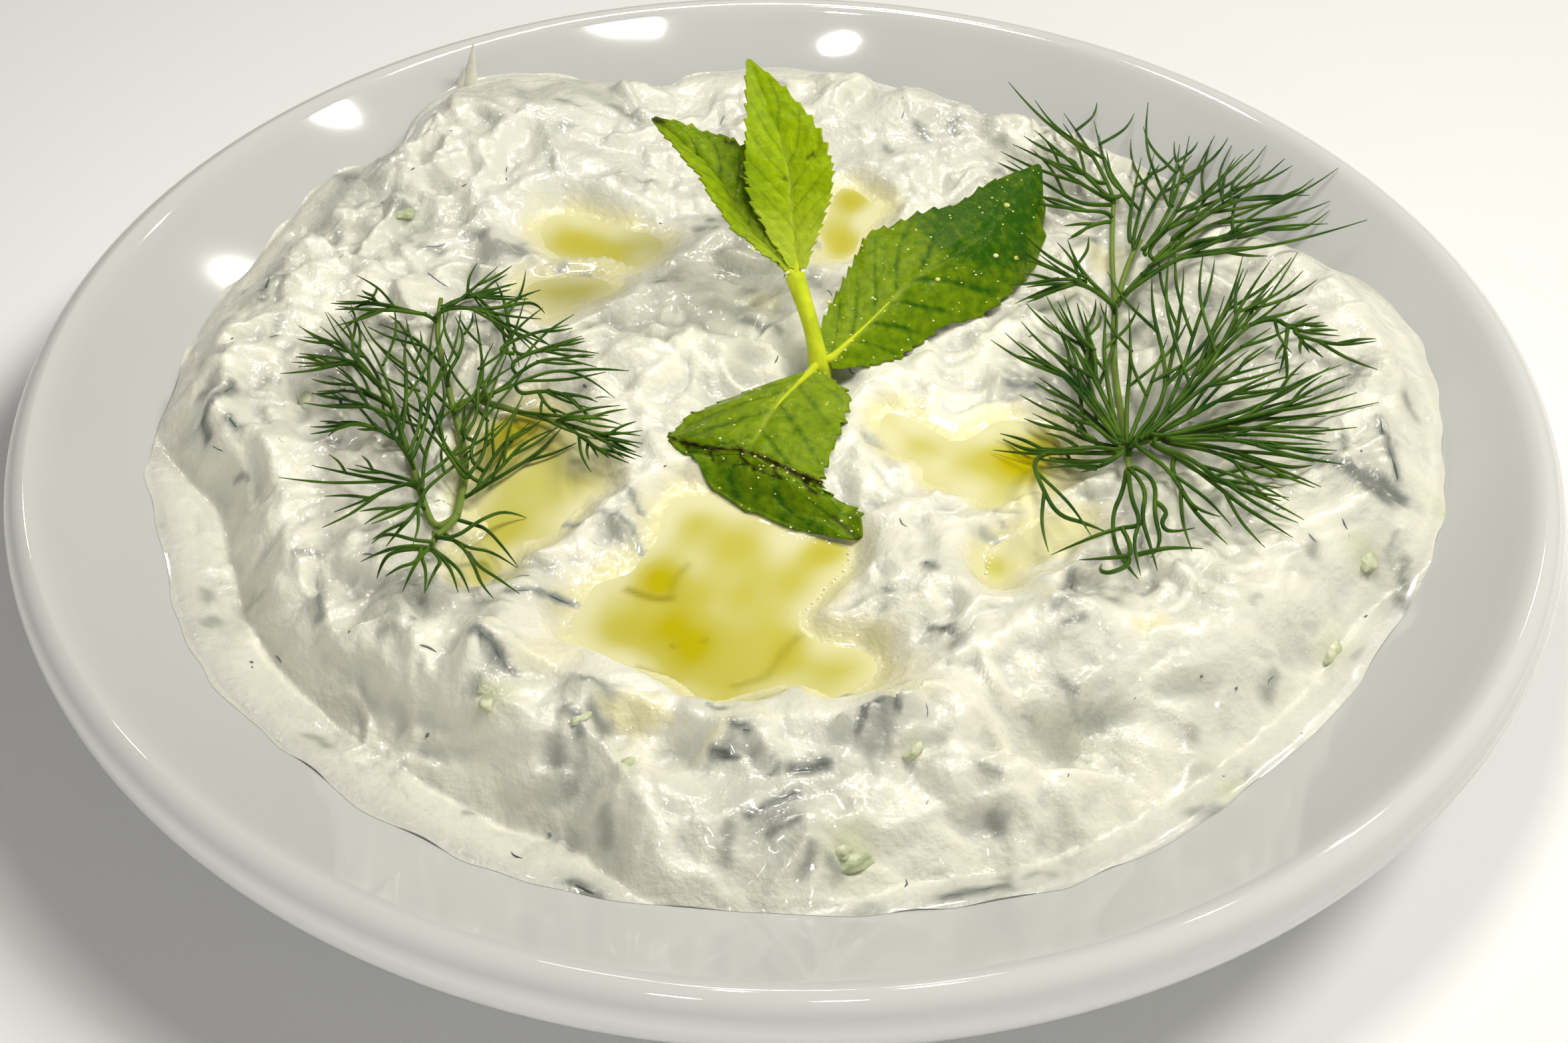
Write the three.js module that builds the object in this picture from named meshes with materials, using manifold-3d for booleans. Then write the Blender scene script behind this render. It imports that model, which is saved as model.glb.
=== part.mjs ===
import * as THREE from 'three';
import { mergeVertices } from 'three/addons/utils/BufferGeometryUtils.js';
import Module from 'manifold-3d';

// A round porcelain meze dish of haydari: a thick strained yoghurt dip with chopped herbs,
// pools of olive oil in its hollows, a sprig of mint and two sprigs of dill.
// Millimetres, +Z up, origin under the middle of the foot ring, photographed side towards -Y.

const wasm = await Module();
wasm.setup();

// Clearance between pieces that touch
const GAP = 0.45;

// Porcelain dish: a turned profile with a foot ring, a dished wall and a thick rolled rim
const DISH = {
  segments: 48,
  radius: 100,
  crestRadius: 96.8,
  rimHeight: 22.2,
  rimMiddle: 18.6,
  rimBottom: 13.4,
  floorRadius: 52,
  floorHeight: 5.5,
  wallPower: 1.6,
  wallSteps: 5,
  rimSteps: 6,
  footThickness: 4,
  footInner: 50,
  footOuter: 55,
  footChamfer: 1.5,
  recess: 2.4,
};

// Dip: a spread heap with a higher ring round a lower middle, thin at its edge
const DIP = {
  segments: 68,
  rings: 19,
  underRings: 4,
  underInner: 0.62,
  underOuter: 0.996,
  edgeRadius: 82,
  edgeWave: 0.7,
  edgeWaves: [{ count: 5, shift: 0.6 }, { count: 9, shift: 0 }],
  edgeThickness: 0.9,
  edgeRound: 1.5,
  leastDepth: 0.5,
  fall: 10,
  middleHeight: 17.2,
  ringHeight: 19.4,
  ringRadius: 62,
  ringHalf: 24,
  wrinkle: 0.35,
  wrinkleLength: 9,
  wrinkleSway: 0.12,
  wrinkleShift: 2,
  smearFade: 0.7,
};

// Stretches where the edge bulges outwards: middle and half of the arc in degrees, and reach
const BULGES = [
  { middle: 12, half: 22, reach: 5 },
  { middle: -12, half: 12, reach: 3 },
  { middle: 94, half: 20, reach: 2.6 },
  { middle: 130, half: 20, reach: 7.4 },
  { middle: 188, half: 9, reach: 2.6 },
];

// Thin smears outside the foot of the heap: middle and half of the arc in degrees, width and thickness
const SMEARS = [
  { middle: 222, half: 40, width: 8, thickness: 1.7 },
  { middle: 308, half: 36, width: 5, thickness: 1.5 },
];

// Spoon strokes: a path over the dip, the half width of the mark and its height, below zero for a furrow
const STROKES = [
  { path: [[-76, 14], [-77, -3], [-74, -17], [-66, -32], [-57, -44]], half: 6, height: 2.4 },
  { path: [[-64, -2], [-59, -24], [-53, -42], [-40, -56]], half: 5.5, height: -3 },
  { path: [[-34, -48], [-23, -47], [-13, -53], [4, -55], [22, -56]], half: 4.6, height: 3.4 },
  { path: [[-22, 73], [-8, 75], [10, 74], [20, 69]], half: 7, height: 2.2 },
  { path: [[36, 66], [50, 58]], half: 6, height: 2.6 },
  { path: [[-57, 57], [-49, 65], [-38, 66]], half: 12, height: 5.4 },
  { path: [[-42, 52], [-28, 46]], half: 11, height: 2.2 },
  { path: [[26, -42], [46, -39], [66, -34]], half: 9, height: 1.6 },
  { path: [[28, -57], [44, -52]], half: 5.5, height: -2.2 },
  { path: [[73, 33], [78, 18], [80, 3], [78, -18]], half: 7.5, height: 3.4 },
  { path: [[-22, 8], [-8, 14], [10, 26]], half: 7, height: 1.8 },
];

// Lumps and dents: place, radius and height
const LUMPS = [
  { at: [17, 69], radius: 6, height: 3 },
  { at: [80, 3], radius: 4, height: 2.4 },
  { at: [79, 24], radius: 6, height: 2.2 },
  { at: [35, -40], radius: 5, height: 2.4 },
  { at: [-23, -48], radius: 4.5, height: 1.8 },
  { at: [12, -55], radius: 4, height: 2.2 },
  { at: [-44, -47], radius: 6, height: 2.4 },
  { at: [-68, -10], radius: 6, height: 1.6 },
  { at: [-67, 28], radius: 7, height: 1.6 },
  { at: [20, -32], radius: 6, height: 1.4 },
  { at: [58, 12], radius: 9, height: 1.4 },
  { at: [60, 46], radius: 8, height: 1.6 },
  { at: [-8, 58], radius: 7, height: 1.6 },
  { at: [-12, -64], radius: 7, height: -1.2 },
  { at: [56, -55], radius: 6, height: -1.4 },
];

// Pulled-up tip that the spoon left at the back
const SPIKE = { at: [-49, 69.5], radius: 1.7, height: 6.5, sunk: 2, lean: 0.1, sides: 6 };

// Herb and cucumber pieces that stand out of the dip: place, length and heading in degrees
const FLAKES = [
  { at: [74, -9], length: 12, heading: 158 },
  { at: [11, -49.5], length: 6, heading: 30 },
  { at: [-35, -55], length: 6, heading: 115 },
  { at: [-56, -52], length: 4.5, heading: 80 },
  { at: [-20, -70], length: 5, heading: 100 },
  { at: [36, -54], length: 5.5, heading: 70 },
  { at: [7, -71], length: 8, heading: 20 },
  { at: [48, -53], length: 5, heading: 150 },
  { at: [65, -36], length: 6, heading: 75 },
  { at: [-72, 32], length: 6, heading: 60 },
  { at: [-56, 46], length: 6, heading: 10 },
  { at: [-26, 62], length: 7, heading: 150 },
];
const FLAKE = { width: 0.36, thickness: 0.22, sunk: 0.35 };

// Oil pools: middle, half sizes, heading in degrees, level of the oil and unevenness of the outline
const OIL = {
  segments: 16,
  lobes: 3,
  depth: 1.5,
  meniscus: 0.25,
  inner: 0.6,
  innerDepth: 0.8,
  shore: 1.4,
  pocketRise: 6,
};
const POOLS = [
  { name: 'oil_front', at: [-10.5, -37.5], half: [20, 14], heading: 168, level: 15.4, wave: 0.16 },
  { name: 'oil_left', at: [-33, -17], half: [9, 6.5], heading: 30, level: 16.1, wave: 0.12 },
  { name: 'oil_upper', at: [-27, 35], half: [9, 4.6], heading: 160, level: 17.8, wave: 0.14 },
  { name: 'oil_upper_small', at: [-31, 24], half: [6.5, 2.8], heading: 15, level: 17.6, wave: 0.1 },
  { name: 'oil_back', at: [8.5, 43], half: [9, 5.5], heading: 75, level: 17.4, wave: 0.1 },
  { name: 'oil_right', at: [27, -9], half: [10, 7], heading: 170, level: 16.6, wave: 0.12 },
  { name: 'oil_right_small', at: [28, -26], half: [6, 3.2], heading: 50, level: 16.4, wave: 0.1 },
];

// Mint: a short stem that rises out of the dip, with a pair of leaves at each node
const STEM = {
  path: [[4.6, 5.2, 12.5], [4.2, 5.8, 19], [3.2, 8.5, 23.5], [0.7, 14.9, 28]],
  radius: 1.25,
  sides: 8,
  steps: 8,
};

// Mint leaves: midrib, heading of the right half at each of its points, widths of the left and right
// halves, upward slopes of those halves, bluntness of the base and place of the widest row
const LEAF = { thickness: 0.5, rows: 12, columns: 4, leastHalf: 0.7, ripples: 5, clearance: 0.7 };
const LEAVES = [
  {
    name: 'mint_leaf_left',
    midrib: [[-1.2, 16.6, 29.4], [-5.3, 19.4, 32], [-10.5, 26.7, 36], [-19.3, 35.9, 38.5]],
    across: [40, 45, 49, 49],
    half: [4, 6.8],
    slope: [24, 8],
    blunt: 0.8,
    widest: 0.55,
    ripple: 0.3,
    colour: 0x8db52c,
  },
  {
    name: 'mint_leaf_upright',
    midrib: [[1.1, 17.2, 29.8], [0.1, 21, 33], [-0.9, 27.6, 38], [-6.4, 41.8, 44.5]],
    across: [0, 0, 0, 12],
    half: [6.4, 7.2],
    slope: [18, 18],
    blunt: 0.8,
    widest: 0.52,
    ripple: 0.35,
    colour: 0x9cc22f,
  },
  {
    name: 'mint_leaf_right',
    midrib: [[6.6, 6.8, 21.4], [11.1, 12.4, 23], [17, 19.6, 25], [27, 29.5, 26.5], [36, 46.5, 26]],
    across: [-58, -58, -58, -50, -35],
    half: [11, 10.5],
    slope: [14, -14],
    blunt: 0.62,
    widest: 0.45,
    ripple: 0.45,
    colour: 0x3f7f1f,
  },
  {
    name: 'mint_leaf_front',
    midrib: [[2.2, 2.8, 20.9], [-1.6, -4.3, 21.2], [-4.5, -13.4, 21], [-3.2, -15.6, 20], [9, -24.4, 16.9]],
    across: [0, -8, -24, -24, 15],
    half: [11.5, 10],
    slope: [0, 0],
    blunt: 0.34,
    widest: 0.44,
    ripple: 0.3,
    colour: 0x6ba31d,
  },
];

// Dill: stems over the dip, and fans of forked branches spread between two headings from a point on
// them, with the reach of the first and the last branch
const DILL = {
  stemRadius: 0.95,
  stemSides: 5,
  stemTaper: 0.35,
  hubRadius: 1.2,
  needleRadius: 0.42,
  needleSides: 3,
  needleTaper: 0.85,
  needleArch: 0.75,
  lift: 0.9,
  rise: 2.2,
  riseSpread: 0.6,
  bend: 9,
  headingSpread: 4,
  reachSpread: 0.12,
  forks: [0.4, 0.68],
  forkAngle: 27,
  forkReach: 0.4,
  forkRise: 0.6,
  forkRadius: 0.36,
  forkSpread: 0.2,
  searchRadius: 2.4,
  searchSteps: 8,
  leafSearch: 7,
};
const SPRIGS = [
  {
    name: 'dill_left',
    seed: 41,
    stems: [
      [[-40.8, -22.8], [-42.7, -7.3], [-47.2, 14.5]],
      [[-40.8, -22.8], [-43.2, -25.1], [-48, -14.1], [-51.3, -2.7]],
      [[-43.2, -25.1], [-43.1, -28.5]],
    ],
    fans: [
      { at: [-47.2, 14.5], from: 165, to: 205, count: 3, reach: [14, 18] },
      { at: [-47.2, 14.5], from: -12, to: 62, count: 4, reach: [15, 11] },
      { at: [-42.7, -7.3], from: -12, to: 45, count: 4, reach: [22, 20] },
      { at: [-51.3, -2.7], from: 112, to: 198, count: 4, reach: [14, 14] },
      { at: [-48, -14.1], from: 170, to: 202, count: 2, reach: [12, 12] },
      { at: [-40.8, -22.8], from: 24, to: 50, count: 2, reach: [19, 17] },
      { at: [-43.1, -28.5], from: 200, to: 345, count: 5, reach: [10, 13] },
    ],
  },
  {
    name: 'dill_right',
    seed: 23,
    stems: [
      [[43.9, -11.8], [43, 4.3], [44.2, 15.6], [46.2, 34]],
    ],
    fans: [
      { at: [43.9, -11.8], from: -46, to: 70, count: 8, reach: [24, 39] },
      { at: [43.9, -11.8], from: 112, to: 182, count: 4, reach: [29, 13] },
      { at: [43.9, -11.8], from: 232, to: 284, count: 3, reach: [23, 22] },
      { at: [44.2, 15.6], from: 155, to: 186, count: 2, reach: [13, 12] },
      { at: [46.2, 34], from: -6, to: 78, count: 6, reach: [23, 27] },
      { at: [46.2, 34], from: 98, to: 168, count: 4, reach: [27, 13] },
    ],
  },
];

// Colour and roughness of each material
const LOOKS = {
  porcelain: { colour: 0xe6e8e6, roughness: 0.15 },
  dip: { colour: 0xf2f0e2, roughness: 0.35 },
  oil: { colour: 0xd8c640, roughness: 0.05 },
  stem: { colour: 0xb4c850, roughness: 0.4 },
  leaf: { roughness: 0.4 },
  dill: { colour: 0x2f5f2a, roughness: 0.45 },
};

const { degToRad, radToDeg, euclideanModulo, lerp, smoothstep, clamp } = THREE.MathUtils;

function material({ colour, roughness }) {
  return new THREE.MeshStandardMaterial({ color: colour, roughness, metalness: 0 });
}

function seededRandom(seed) {
  let state = seed;
  return () => {
    state = (state * 16807) % 2147483647;
    return state / 2147483647;
  };
}

function bell(distance, half) {
  return Math.exp(-((distance / half) ** 2));
}

function distanceToPath(x, y, path) {
  let nearest = Infinity;
  for (let i = 1; i < path.length; i += 1) {
    const [ax, ay] = path[i - 1];
    const [bx, by] = path[i];
    const dx = bx - ax;
    const dy = by - ay;
    const along = clamp(((x - ax) * dx + (y - ay) * dy) / (dx * dx + dy * dy), 0, 1);
    nearest = Math.min(nearest, Math.hypot(x - ax - along * dx, y - ay - along * dy));
  }
  return nearest;
}

// Turns the triangles so that the closed skin faces outwards
function faceOutward(geometry) {
  const position = geometry.getAttribute('position');
  const index = Array.from(geometry.index.array);
  const [a, b, c] = [new THREE.Vector3(), new THREE.Vector3(), new THREE.Vector3()];
  let volume = 0;
  for (let i = 0; i < index.length; i += 3) {
    a.fromBufferAttribute(position, index[i]);
    b.fromBufferAttribute(position, index[i + 1]);
    c.fromBufferAttribute(position, index[i + 2]);
    volume += a.dot(b.cross(c));
  }
  if (volume < 0) {
    for (let i = 0; i < index.length; i += 3) {
      [index[i], index[i + 1]] = [index[i + 1], index[i]];
    }
    geometry.setIndex(index);
  }
  return geometry;
}

function geometryOf(points, index) {
  const geometry = new THREE.BufferGeometry();
  geometry.setAttribute('position', new THREE.Float32BufferAttribute(points.flat(), 3));
  geometry.setIndex(index);
  return faceOutward(geometry);
}

// Merges shared corners and drops the triangles that an axis point leaves without area
function welded(source) {
  source.deleteAttribute('normal');
  source.deleteAttribute('uv');
  const geometry = mergeVertices(source);
  const corners = geometry.index.array;
  const index = [];
  for (let i = 0; i < corners.length; i += 3) {
    const [a, b, c] = [corners[i], corners[i + 1], corners[i + 2]];
    if (a !== b && b !== c && c !== a) {
      index.push(a, b, c);
    }
  }
  geometry.setIndex(index);
  return faceOutward(geometry);
}

// Closed skin over rings with equally many points, shut at each end on a middle point
function loft(start, rings, end) {
  const count = rings[0].length;
  const points = [start, ...rings.flat(), end];
  const last = points.length - 1;
  const corner = (ring, k) => 1 + ring * count + (k % count);
  const index = [];
  for (let k = 0; k < count; k += 1) {
    index.push(0, corner(0, k), corner(0, k + 1));
    index.push(last, corner(rings.length - 1, k + 1), corner(rings.length - 1, k));
    for (let ring = 1; ring < rings.length; ring += 1) {
      index.push(corner(ring - 1, k), corner(ring, k), corner(ring, k + 1));
      index.push(corner(ring - 1, k), corner(ring, k + 1), corner(ring - 1, k + 1));
    }
  }
  return geometryOf(points, index);
}

// Thin solid either side of a grid of points, with both faces split into triangles alike
function thinSheet(rows, thickness) {
  const columns = rows[0].length;
  const top = [];
  const bottom = [];
  rows.forEach((row, i) => row.forEach((point, j) => {
    const along = rows[Math.min(i + 1, rows.length - 1)][j].clone().sub(rows[Math.max(i - 1, 0)][j]);
    const across = row[Math.min(j + 1, columns - 1)].clone().sub(row[Math.max(j - 1, 0)]);
    const normal = across.cross(along).normalize().multiplyScalar(thickness / 2);
    top.push(point.clone().add(normal).toArray());
    bottom.push(point.clone().sub(normal).toArray());
  }));
  const under = top.length;
  const index = [];
  const quad = (a, b, c, d) => index.push(a, b, c, a, c, d);
  for (let i = 1; i < rows.length; i += 1) {
    for (let j = 1; j < columns; j += 1) {
      const [a, b] = [(i - 1) * columns + j - 1, (i - 1) * columns + j];
      const [c, d] = [i * columns + j, i * columns + j - 1];
      quad(a, b, c, d);
      index.push(under + a, under + c, under + b, under + a, under + d, under + c);
    }
  }
  const rim = [];
  for (let j = 0; j < columns - 1; j += 1) {
    rim.push(j);
  }
  for (let i = 0; i < rows.length - 1; i += 1) {
    rim.push(i * columns + columns - 1);
  }
  for (let j = columns - 1; j > 0; j -= 1) {
    rim.push((rows.length - 1) * columns + j);
  }
  for (let i = rows.length - 1; i > 0; i -= 1) {
    rim.push(i * columns);
  }
  rim.forEach((a, k) => {
    const b = rim[(k + 1) % rim.length];
    quad(b, a, under + a, under + b);
  });
  return geometryOf([...top, ...bottom], index);
}

// Round bar along points, with its own radius at each point, tapering to its end point
function taperedBar(points, radii, sides) {
  const vectors = points.map((point) => new THREE.Vector3(...point));
  const rings = vectors.slice(0, -1).map((middle, i) => {
    const along = vectors[i + 1].clone().sub(vectors[Math.max(i - 1, 0)]).normalize();
    const side = new THREE.Vector3(0, 0, 1).cross(along).normalize();
    const up = along.clone().cross(side);
    return Array.from({ length: sides }, (_, k) => {
      const turn = (2 * Math.PI * k) / sides;
      const offset = side.clone().multiplyScalar(Math.cos(turn)).addScaledVector(up, Math.sin(turn));
      return middle.clone().addScaledVector(offset, radii[i]).toArray();
    });
  });
  return loft(points[0], rings, points[points.length - 1]);
}

function solidOf(geometry) {
  return new wasm.Manifold(new wasm.Mesh({
    numProp: 3,
    vertProperties: new Float32Array(geometry.getAttribute('position').array),
    triVerts: new Uint32Array(geometry.index.array),
  }));
}

function geometryFrom(solid) {
  const mesh = solid.getMesh();
  const geometry = new THREE.BufferGeometry();
  geometry.setAttribute('position', new THREE.BufferAttribute(mesh.vertProperties, 3));
  geometry.setIndex(new THREE.BufferAttribute(mesh.triVerts, 1));
  return geometry;
}

function wallHeight(radius) {
  const climb = clamp((radius - DISH.floorRadius) / (DISH.crestRadius - DISH.floorRadius), 0, 1);
  return DISH.floorHeight + (DISH.rimHeight - DISH.floorHeight) * climb ** DISH.wallPower;
}

function makeDish() {
  const rimReach = DISH.radius - DISH.crestRadius;
  const rimDepth = DISH.rimHeight - DISH.rimBottom;
  const profile = [
    [0, DISH.recess],
    [DISH.footInner - DISH.footChamfer, DISH.recess],
    [DISH.footInner, 0],
    [DISH.footOuter, 0],
  ];
  for (let i = 0; i < DISH.wallSteps; i += 1) {
    const share = i / DISH.wallSteps;
    const radius = lerp(DISH.footOuter + DISH.footChamfer, DISH.crestRadius, share);
    profile.push([radius, wallHeight(radius) - lerp(DISH.footThickness, rimDepth, share)]);
  }
  for (let i = 0; i <= DISH.rimSteps; i += 1) {
    const turn = lerp(-Math.PI / 2, Math.PI / 2, i / DISH.rimSteps);
    const height = turn < 0 ? DISH.rimMiddle - DISH.rimBottom : DISH.rimHeight - DISH.rimMiddle;
    profile.push([DISH.crestRadius + rimReach * Math.cos(turn), DISH.rimMiddle + height * Math.sin(turn)]);
  }
  for (let i = DISH.wallSteps - 1; i >= 0; i -= 1) {
    const radius = lerp(DISH.floorRadius, DISH.crestRadius, i / DISH.wallSteps);
    profile.push([radius, wallHeight(radius)]);
  }
  profile.push([0, DISH.floorHeight]);
  const lathe = new THREE.LatheGeometry(profile.map(([x, y]) => new THREE.Vector2(x, y)), DISH.segments);
  return welded(lathe.rotateX(Math.PI / 2));
}

// Degrees between an angle and the middle of an arc
function awayFrom(angle, middle) {
  return Math.abs(euclideanModulo(radToDeg(angle) - middle + 180, 360) - 180);
}

function edgeRadius(angle) {
  let radius = DIP.edgeRadius;
  for (const wave of DIP.edgeWaves) {
    radius += DIP.edgeWave * Math.sin(wave.count * angle + wave.shift);
  }
  for (const bulge of BULGES) {
    radius += bulge.reach * bell(awayFrom(angle, bulge.middle), bulge.half);
  }
  return radius;
}

function poolReach(pool, x, y) {
  const [dx, dy] = [x - pool.at[0], y - pool.at[1]];
  const heading = degToRad(pool.heading);
  const along = (dx * Math.cos(heading) + dy * Math.sin(heading)) / pool.half[0];
  const across = (dy * Math.cos(heading) - dx * Math.sin(heading)) / pool.half[1];
  const outline = 1 + pool.wave * Math.cos(OIL.lobes * Math.atan2(across, along) + pool.heading);
  return Math.hypot(along, across) / outline;
}

function dipHeight(x, y) {
  const radius = Math.hypot(x, y);
  const angle = Math.atan2(y, x);
  let smearWidth = 0;
  let thickness = DIP.edgeThickness;
  for (const smear of SMEARS) {
    const share = 1 - smoothstep(awayFrom(angle, smear.middle), DIP.smearFade * smear.half, smear.half);
    smearWidth += smear.width * share;
    thickness += (smear.thickness - DIP.edgeThickness) * share;
  }
  let heap = lerp(DIP.middleHeight, DIP.ringHeight, bell(radius - DIP.ringRadius, DIP.ringHalf));
  for (const stroke of STROKES) {
    heap += stroke.height * bell(distanceToPath(x, y, stroke.path), stroke.half);
  }
  for (const lump of LUMPS) {
    heap += lump.height * bell(Math.hypot(x - lump.at[0], y - lump.at[1]), lump.radius);
  }
  const wave = (2 * Math.PI) / DIP.wrinkleLength;
  const [swayX, swayY] = [x, y].map((part) => DIP.wrinkleShift * Math.sin(DIP.wrinkleSway * part));
  heap += DIP.wrinkle * Math.sin(wave * x + swayY) * Math.cos(wave * y + swayX);
  for (const pool of POOLS) {
    heap = lerp(pool.level, heap, smoothstep(poolReach(pool, x, y), 1, OIL.shore));
  }
  const inward = edgeRadius(angle) - radius;
  const wall = wallHeight(radius);
  const foot = wall + Math.max(thickness * Math.min(inward / DIP.edgeRound, 1), DIP.leastDepth);
  const climb = clamp((inward - smearWidth) / DIP.fall, 0, 1);
  return Math.max(lerp(foot, heap, Math.sin((climb * Math.PI) / 2)), wall + DIP.leastDepth);
}

function poolOutline(pool, share, margin, height) {
  const heading = degToRad(pool.heading);
  return Array.from({ length: OIL.segments }, (_, k) => {
    const turn = (2 * Math.PI * k) / OIL.segments;
    const outline = share * (1 + pool.wave * Math.cos(OIL.lobes * turn + pool.heading));
    const along = (pool.half[0] * outline + margin) * Math.cos(turn);
    const across = (pool.half[1] * outline + margin) * Math.sin(turn);
    return [
      pool.at[0] + along * Math.cos(heading) - across * Math.sin(heading),
      pool.at[1] + along * Math.sin(heading) + across * Math.cos(heading),
      height,
    ];
  });
}

// Lens of oil with a flat top and a round bottom
function makePool(pool) {
  return loft(
    [...pool.at, pool.level],
    [
      poolOutline(pool, OIL.inner, 0, pool.level),
      poolOutline(pool, 1, 0, pool.level - OIL.meniscus),
      poolOutline(pool, OIL.inner, 0, pool.level - OIL.innerDepth * OIL.depth),
    ],
    [...pool.at, pool.level - OIL.depth],
  );
}

// Room that the pool takes out of the dip, open upwards
function makePocket(pool) {
  return loft(
    [...pool.at, pool.level + OIL.pocketRise],
    [
      poolOutline(pool, 1, 2 * GAP, pool.level + OIL.pocketRise),
      poolOutline(pool, 1, 2 * GAP, pool.level - OIL.meniscus - GAP),
      poolOutline(pool, OIL.inner, 2 * GAP, pool.level - OIL.innerDepth * OIL.depth - GAP),
    ],
    [...pool.at, pool.level - OIL.depth - GAP],
  );
}

function makeStem(radius) {
  const outline = new THREE.Shape();
  outline.absarc(0, 0, radius, 0, 2 * Math.PI, false);
  return welded(new THREE.ExtrudeGeometry(outline, {
    steps: STEM.steps,
    curveSegments: STEM.sides,
    bevelEnabled: false,
    extrudePath: new THREE.CatmullRomCurve3(STEM.path.map((point) => new THREE.Vector3(...point))),
  }));
}

function makeFlake(flake) {
  const [x, y] = flake.at;
  const geometry = new THREE.IcosahedronGeometry(flake.length / 2, 0);
  geometry.scale(1, FLAKE.width, FLAKE.thickness);
  geometry.rotateZ(degToRad(flake.heading));
  geometry.translate(x, y, dipHeight(x, y) - FLAKE.sunk);
  return welded(geometry);
}

function makeSpike() {
  const [x, y] = SPIKE.at;
  const cone = new THREE.ConeGeometry(SPIKE.radius, SPIKE.height + SPIKE.sunk, SPIKE.sides);
  cone.rotateX(Math.PI / 2);
  cone.rotateY(SPIKE.lean);
  cone.translate(x, y, dipHeight(x, y) + (SPIKE.height - SPIKE.sunk) / 2);
  return welded(cone);
}

function makeDip() {
  const top = [];
  const under = [];
  const ring = (share, height) => Array.from({ length: DIP.segments }, (_, k) => {
    const angle = (2 * Math.PI * k) / DIP.segments;
    const [x, y] = [Math.cos(angle), Math.sin(angle)].map((part) => part * share * edgeRadius(angle));
    return [x, y, height(x, y)];
  });
  for (let i = 1; i <= DIP.rings; i += 1) {
    top.push(ring(i / DIP.rings, dipHeight));
  }
  for (let i = DIP.underRings; i > 0; i -= 1) {
    const share = lerp(DIP.underInner, DIP.underOuter, (i - 1) / (DIP.underRings - 1));
    under.push(ring(share, (x, y) => wallHeight(Math.hypot(x, y)) + GAP));
  }
  let dip = solidOf(loft([0, 0, dipHeight(0, 0)], [...top, ...under], [0, 0, DISH.floorHeight + GAP]));
  dip = dip.add(solidOf(makeSpike()));
  for (const flake of FLAKES) {
    dip = dip.add(solidOf(makeFlake(flake)));
  }
  for (const pool of POOLS) {
    dip = dip.subtract(solidOf(makePocket(pool)));
  }
  return geometryFrom(dip.subtract(solidOf(makeStem(STEM.radius + GAP))));
}

// Height that a thing lying at a place has to clear
function lyingHeight(x, y) {
  let height = dipHeight(x, y);
  for (let k = 0; k < DILL.searchSteps; k += 1) {
    const turn = (2 * Math.PI * k) / DILL.searchSteps;
    const [dx, dy] = [Math.cos(turn), Math.sin(turn)].map((part) => part * DILL.searchRadius);
    height = Math.max(height, dipHeight(x + dx, y + dy));
  }
  return height;
}

function leafRows(leaf) {
  const midrib = new THREE.CatmullRomCurve3(leaf.midrib.map((point) => new THREE.Vector3(...point)));
  const widestTurn = Math.log(0.5) / Math.log(leaf.widest);
  const rows = [];
  for (let i = 0; i <= LEAF.rows; i += 1) {
    const share = i / LEAF.rows;
    const middle = midrib.getPoint(share);
    const stop = share * (leaf.across.length - 1);
    const before = Math.min(Math.floor(stop), leaf.across.length - 2);
    const heading = degToRad(lerp(leaf.across[before], leaf.across[before + 1], stop - before));
    const fullness = Math.sin(Math.PI * share ** widestTurn) ** leaf.blunt;
    const row = [];
    for (let j = 0; j <= LEAF.columns; j += 1) {
      const sideways = (2 * j) / LEAF.columns - 1;
      const side = sideways < 0 ? 0 : 1;
      const reach = sideways * Math.max(leaf.half[side] * fullness, LEAF.leastHalf);
      const slope = degToRad(leaf.slope[side]);
      const ripple = leaf.ripple * sideways * sideways * Math.sin(2 * Math.PI * LEAF.ripples * share + j);
      const point = new THREE.Vector3(
        middle.x + reach * Math.cos(slope) * Math.cos(heading),
        middle.y + reach * Math.cos(slope) * Math.sin(heading),
        middle.z + Math.abs(reach) * Math.sin(slope) + ripple * fullness,
      );
      point.z = Math.max(point.z, lyingHeight(point.x, point.y) + LEAF.clearance);
      row.push(point);
    }
    rows.push(row);
  }
  return rows;
}

const leafSurfaces = LEAVES.map(leafRows);

// Height that dill has to clear, over the dip and over any mint leaf under it
function dillGround(x, y) {
  let height = lyingHeight(x, y);
  for (const point of leafSurfaces.flat(2)) {
    if (Math.hypot(point.x - x, point.y - y) < DILL.leafSearch) {
      height = Math.max(height, point.z + LEAF.thickness);
    }
  }
  return height + DILL.lift;
}

// Needle that leaves its stem at a heading, arches up a little and turns as it goes
function needlePoints(from, heading, reach, turn, rise, shares) {
  const points = [from];
  for (const share of shares) {
    const angle = degToRad(heading + turn * share);
    const x = from[0] + reach * share * Math.cos(angle);
    const y = from[1] + reach * share * Math.sin(angle);
    const arch = from[2] + rise * Math.sin(Math.PI * DILL.needleArch * share);
    points.push([x, y, Math.max(arch, dillGround(x, y))]);
  }
  return points;
}

function pointAlong([start, middle, end], share) {
  const [from, to] = share < 0.5 ? [start, middle] : [middle, end];
  const part = share < 0.5 ? 2 * share : 2 * share - 1;
  return from.map((value, axis) => lerp(value, to[axis], part));
}

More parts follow.
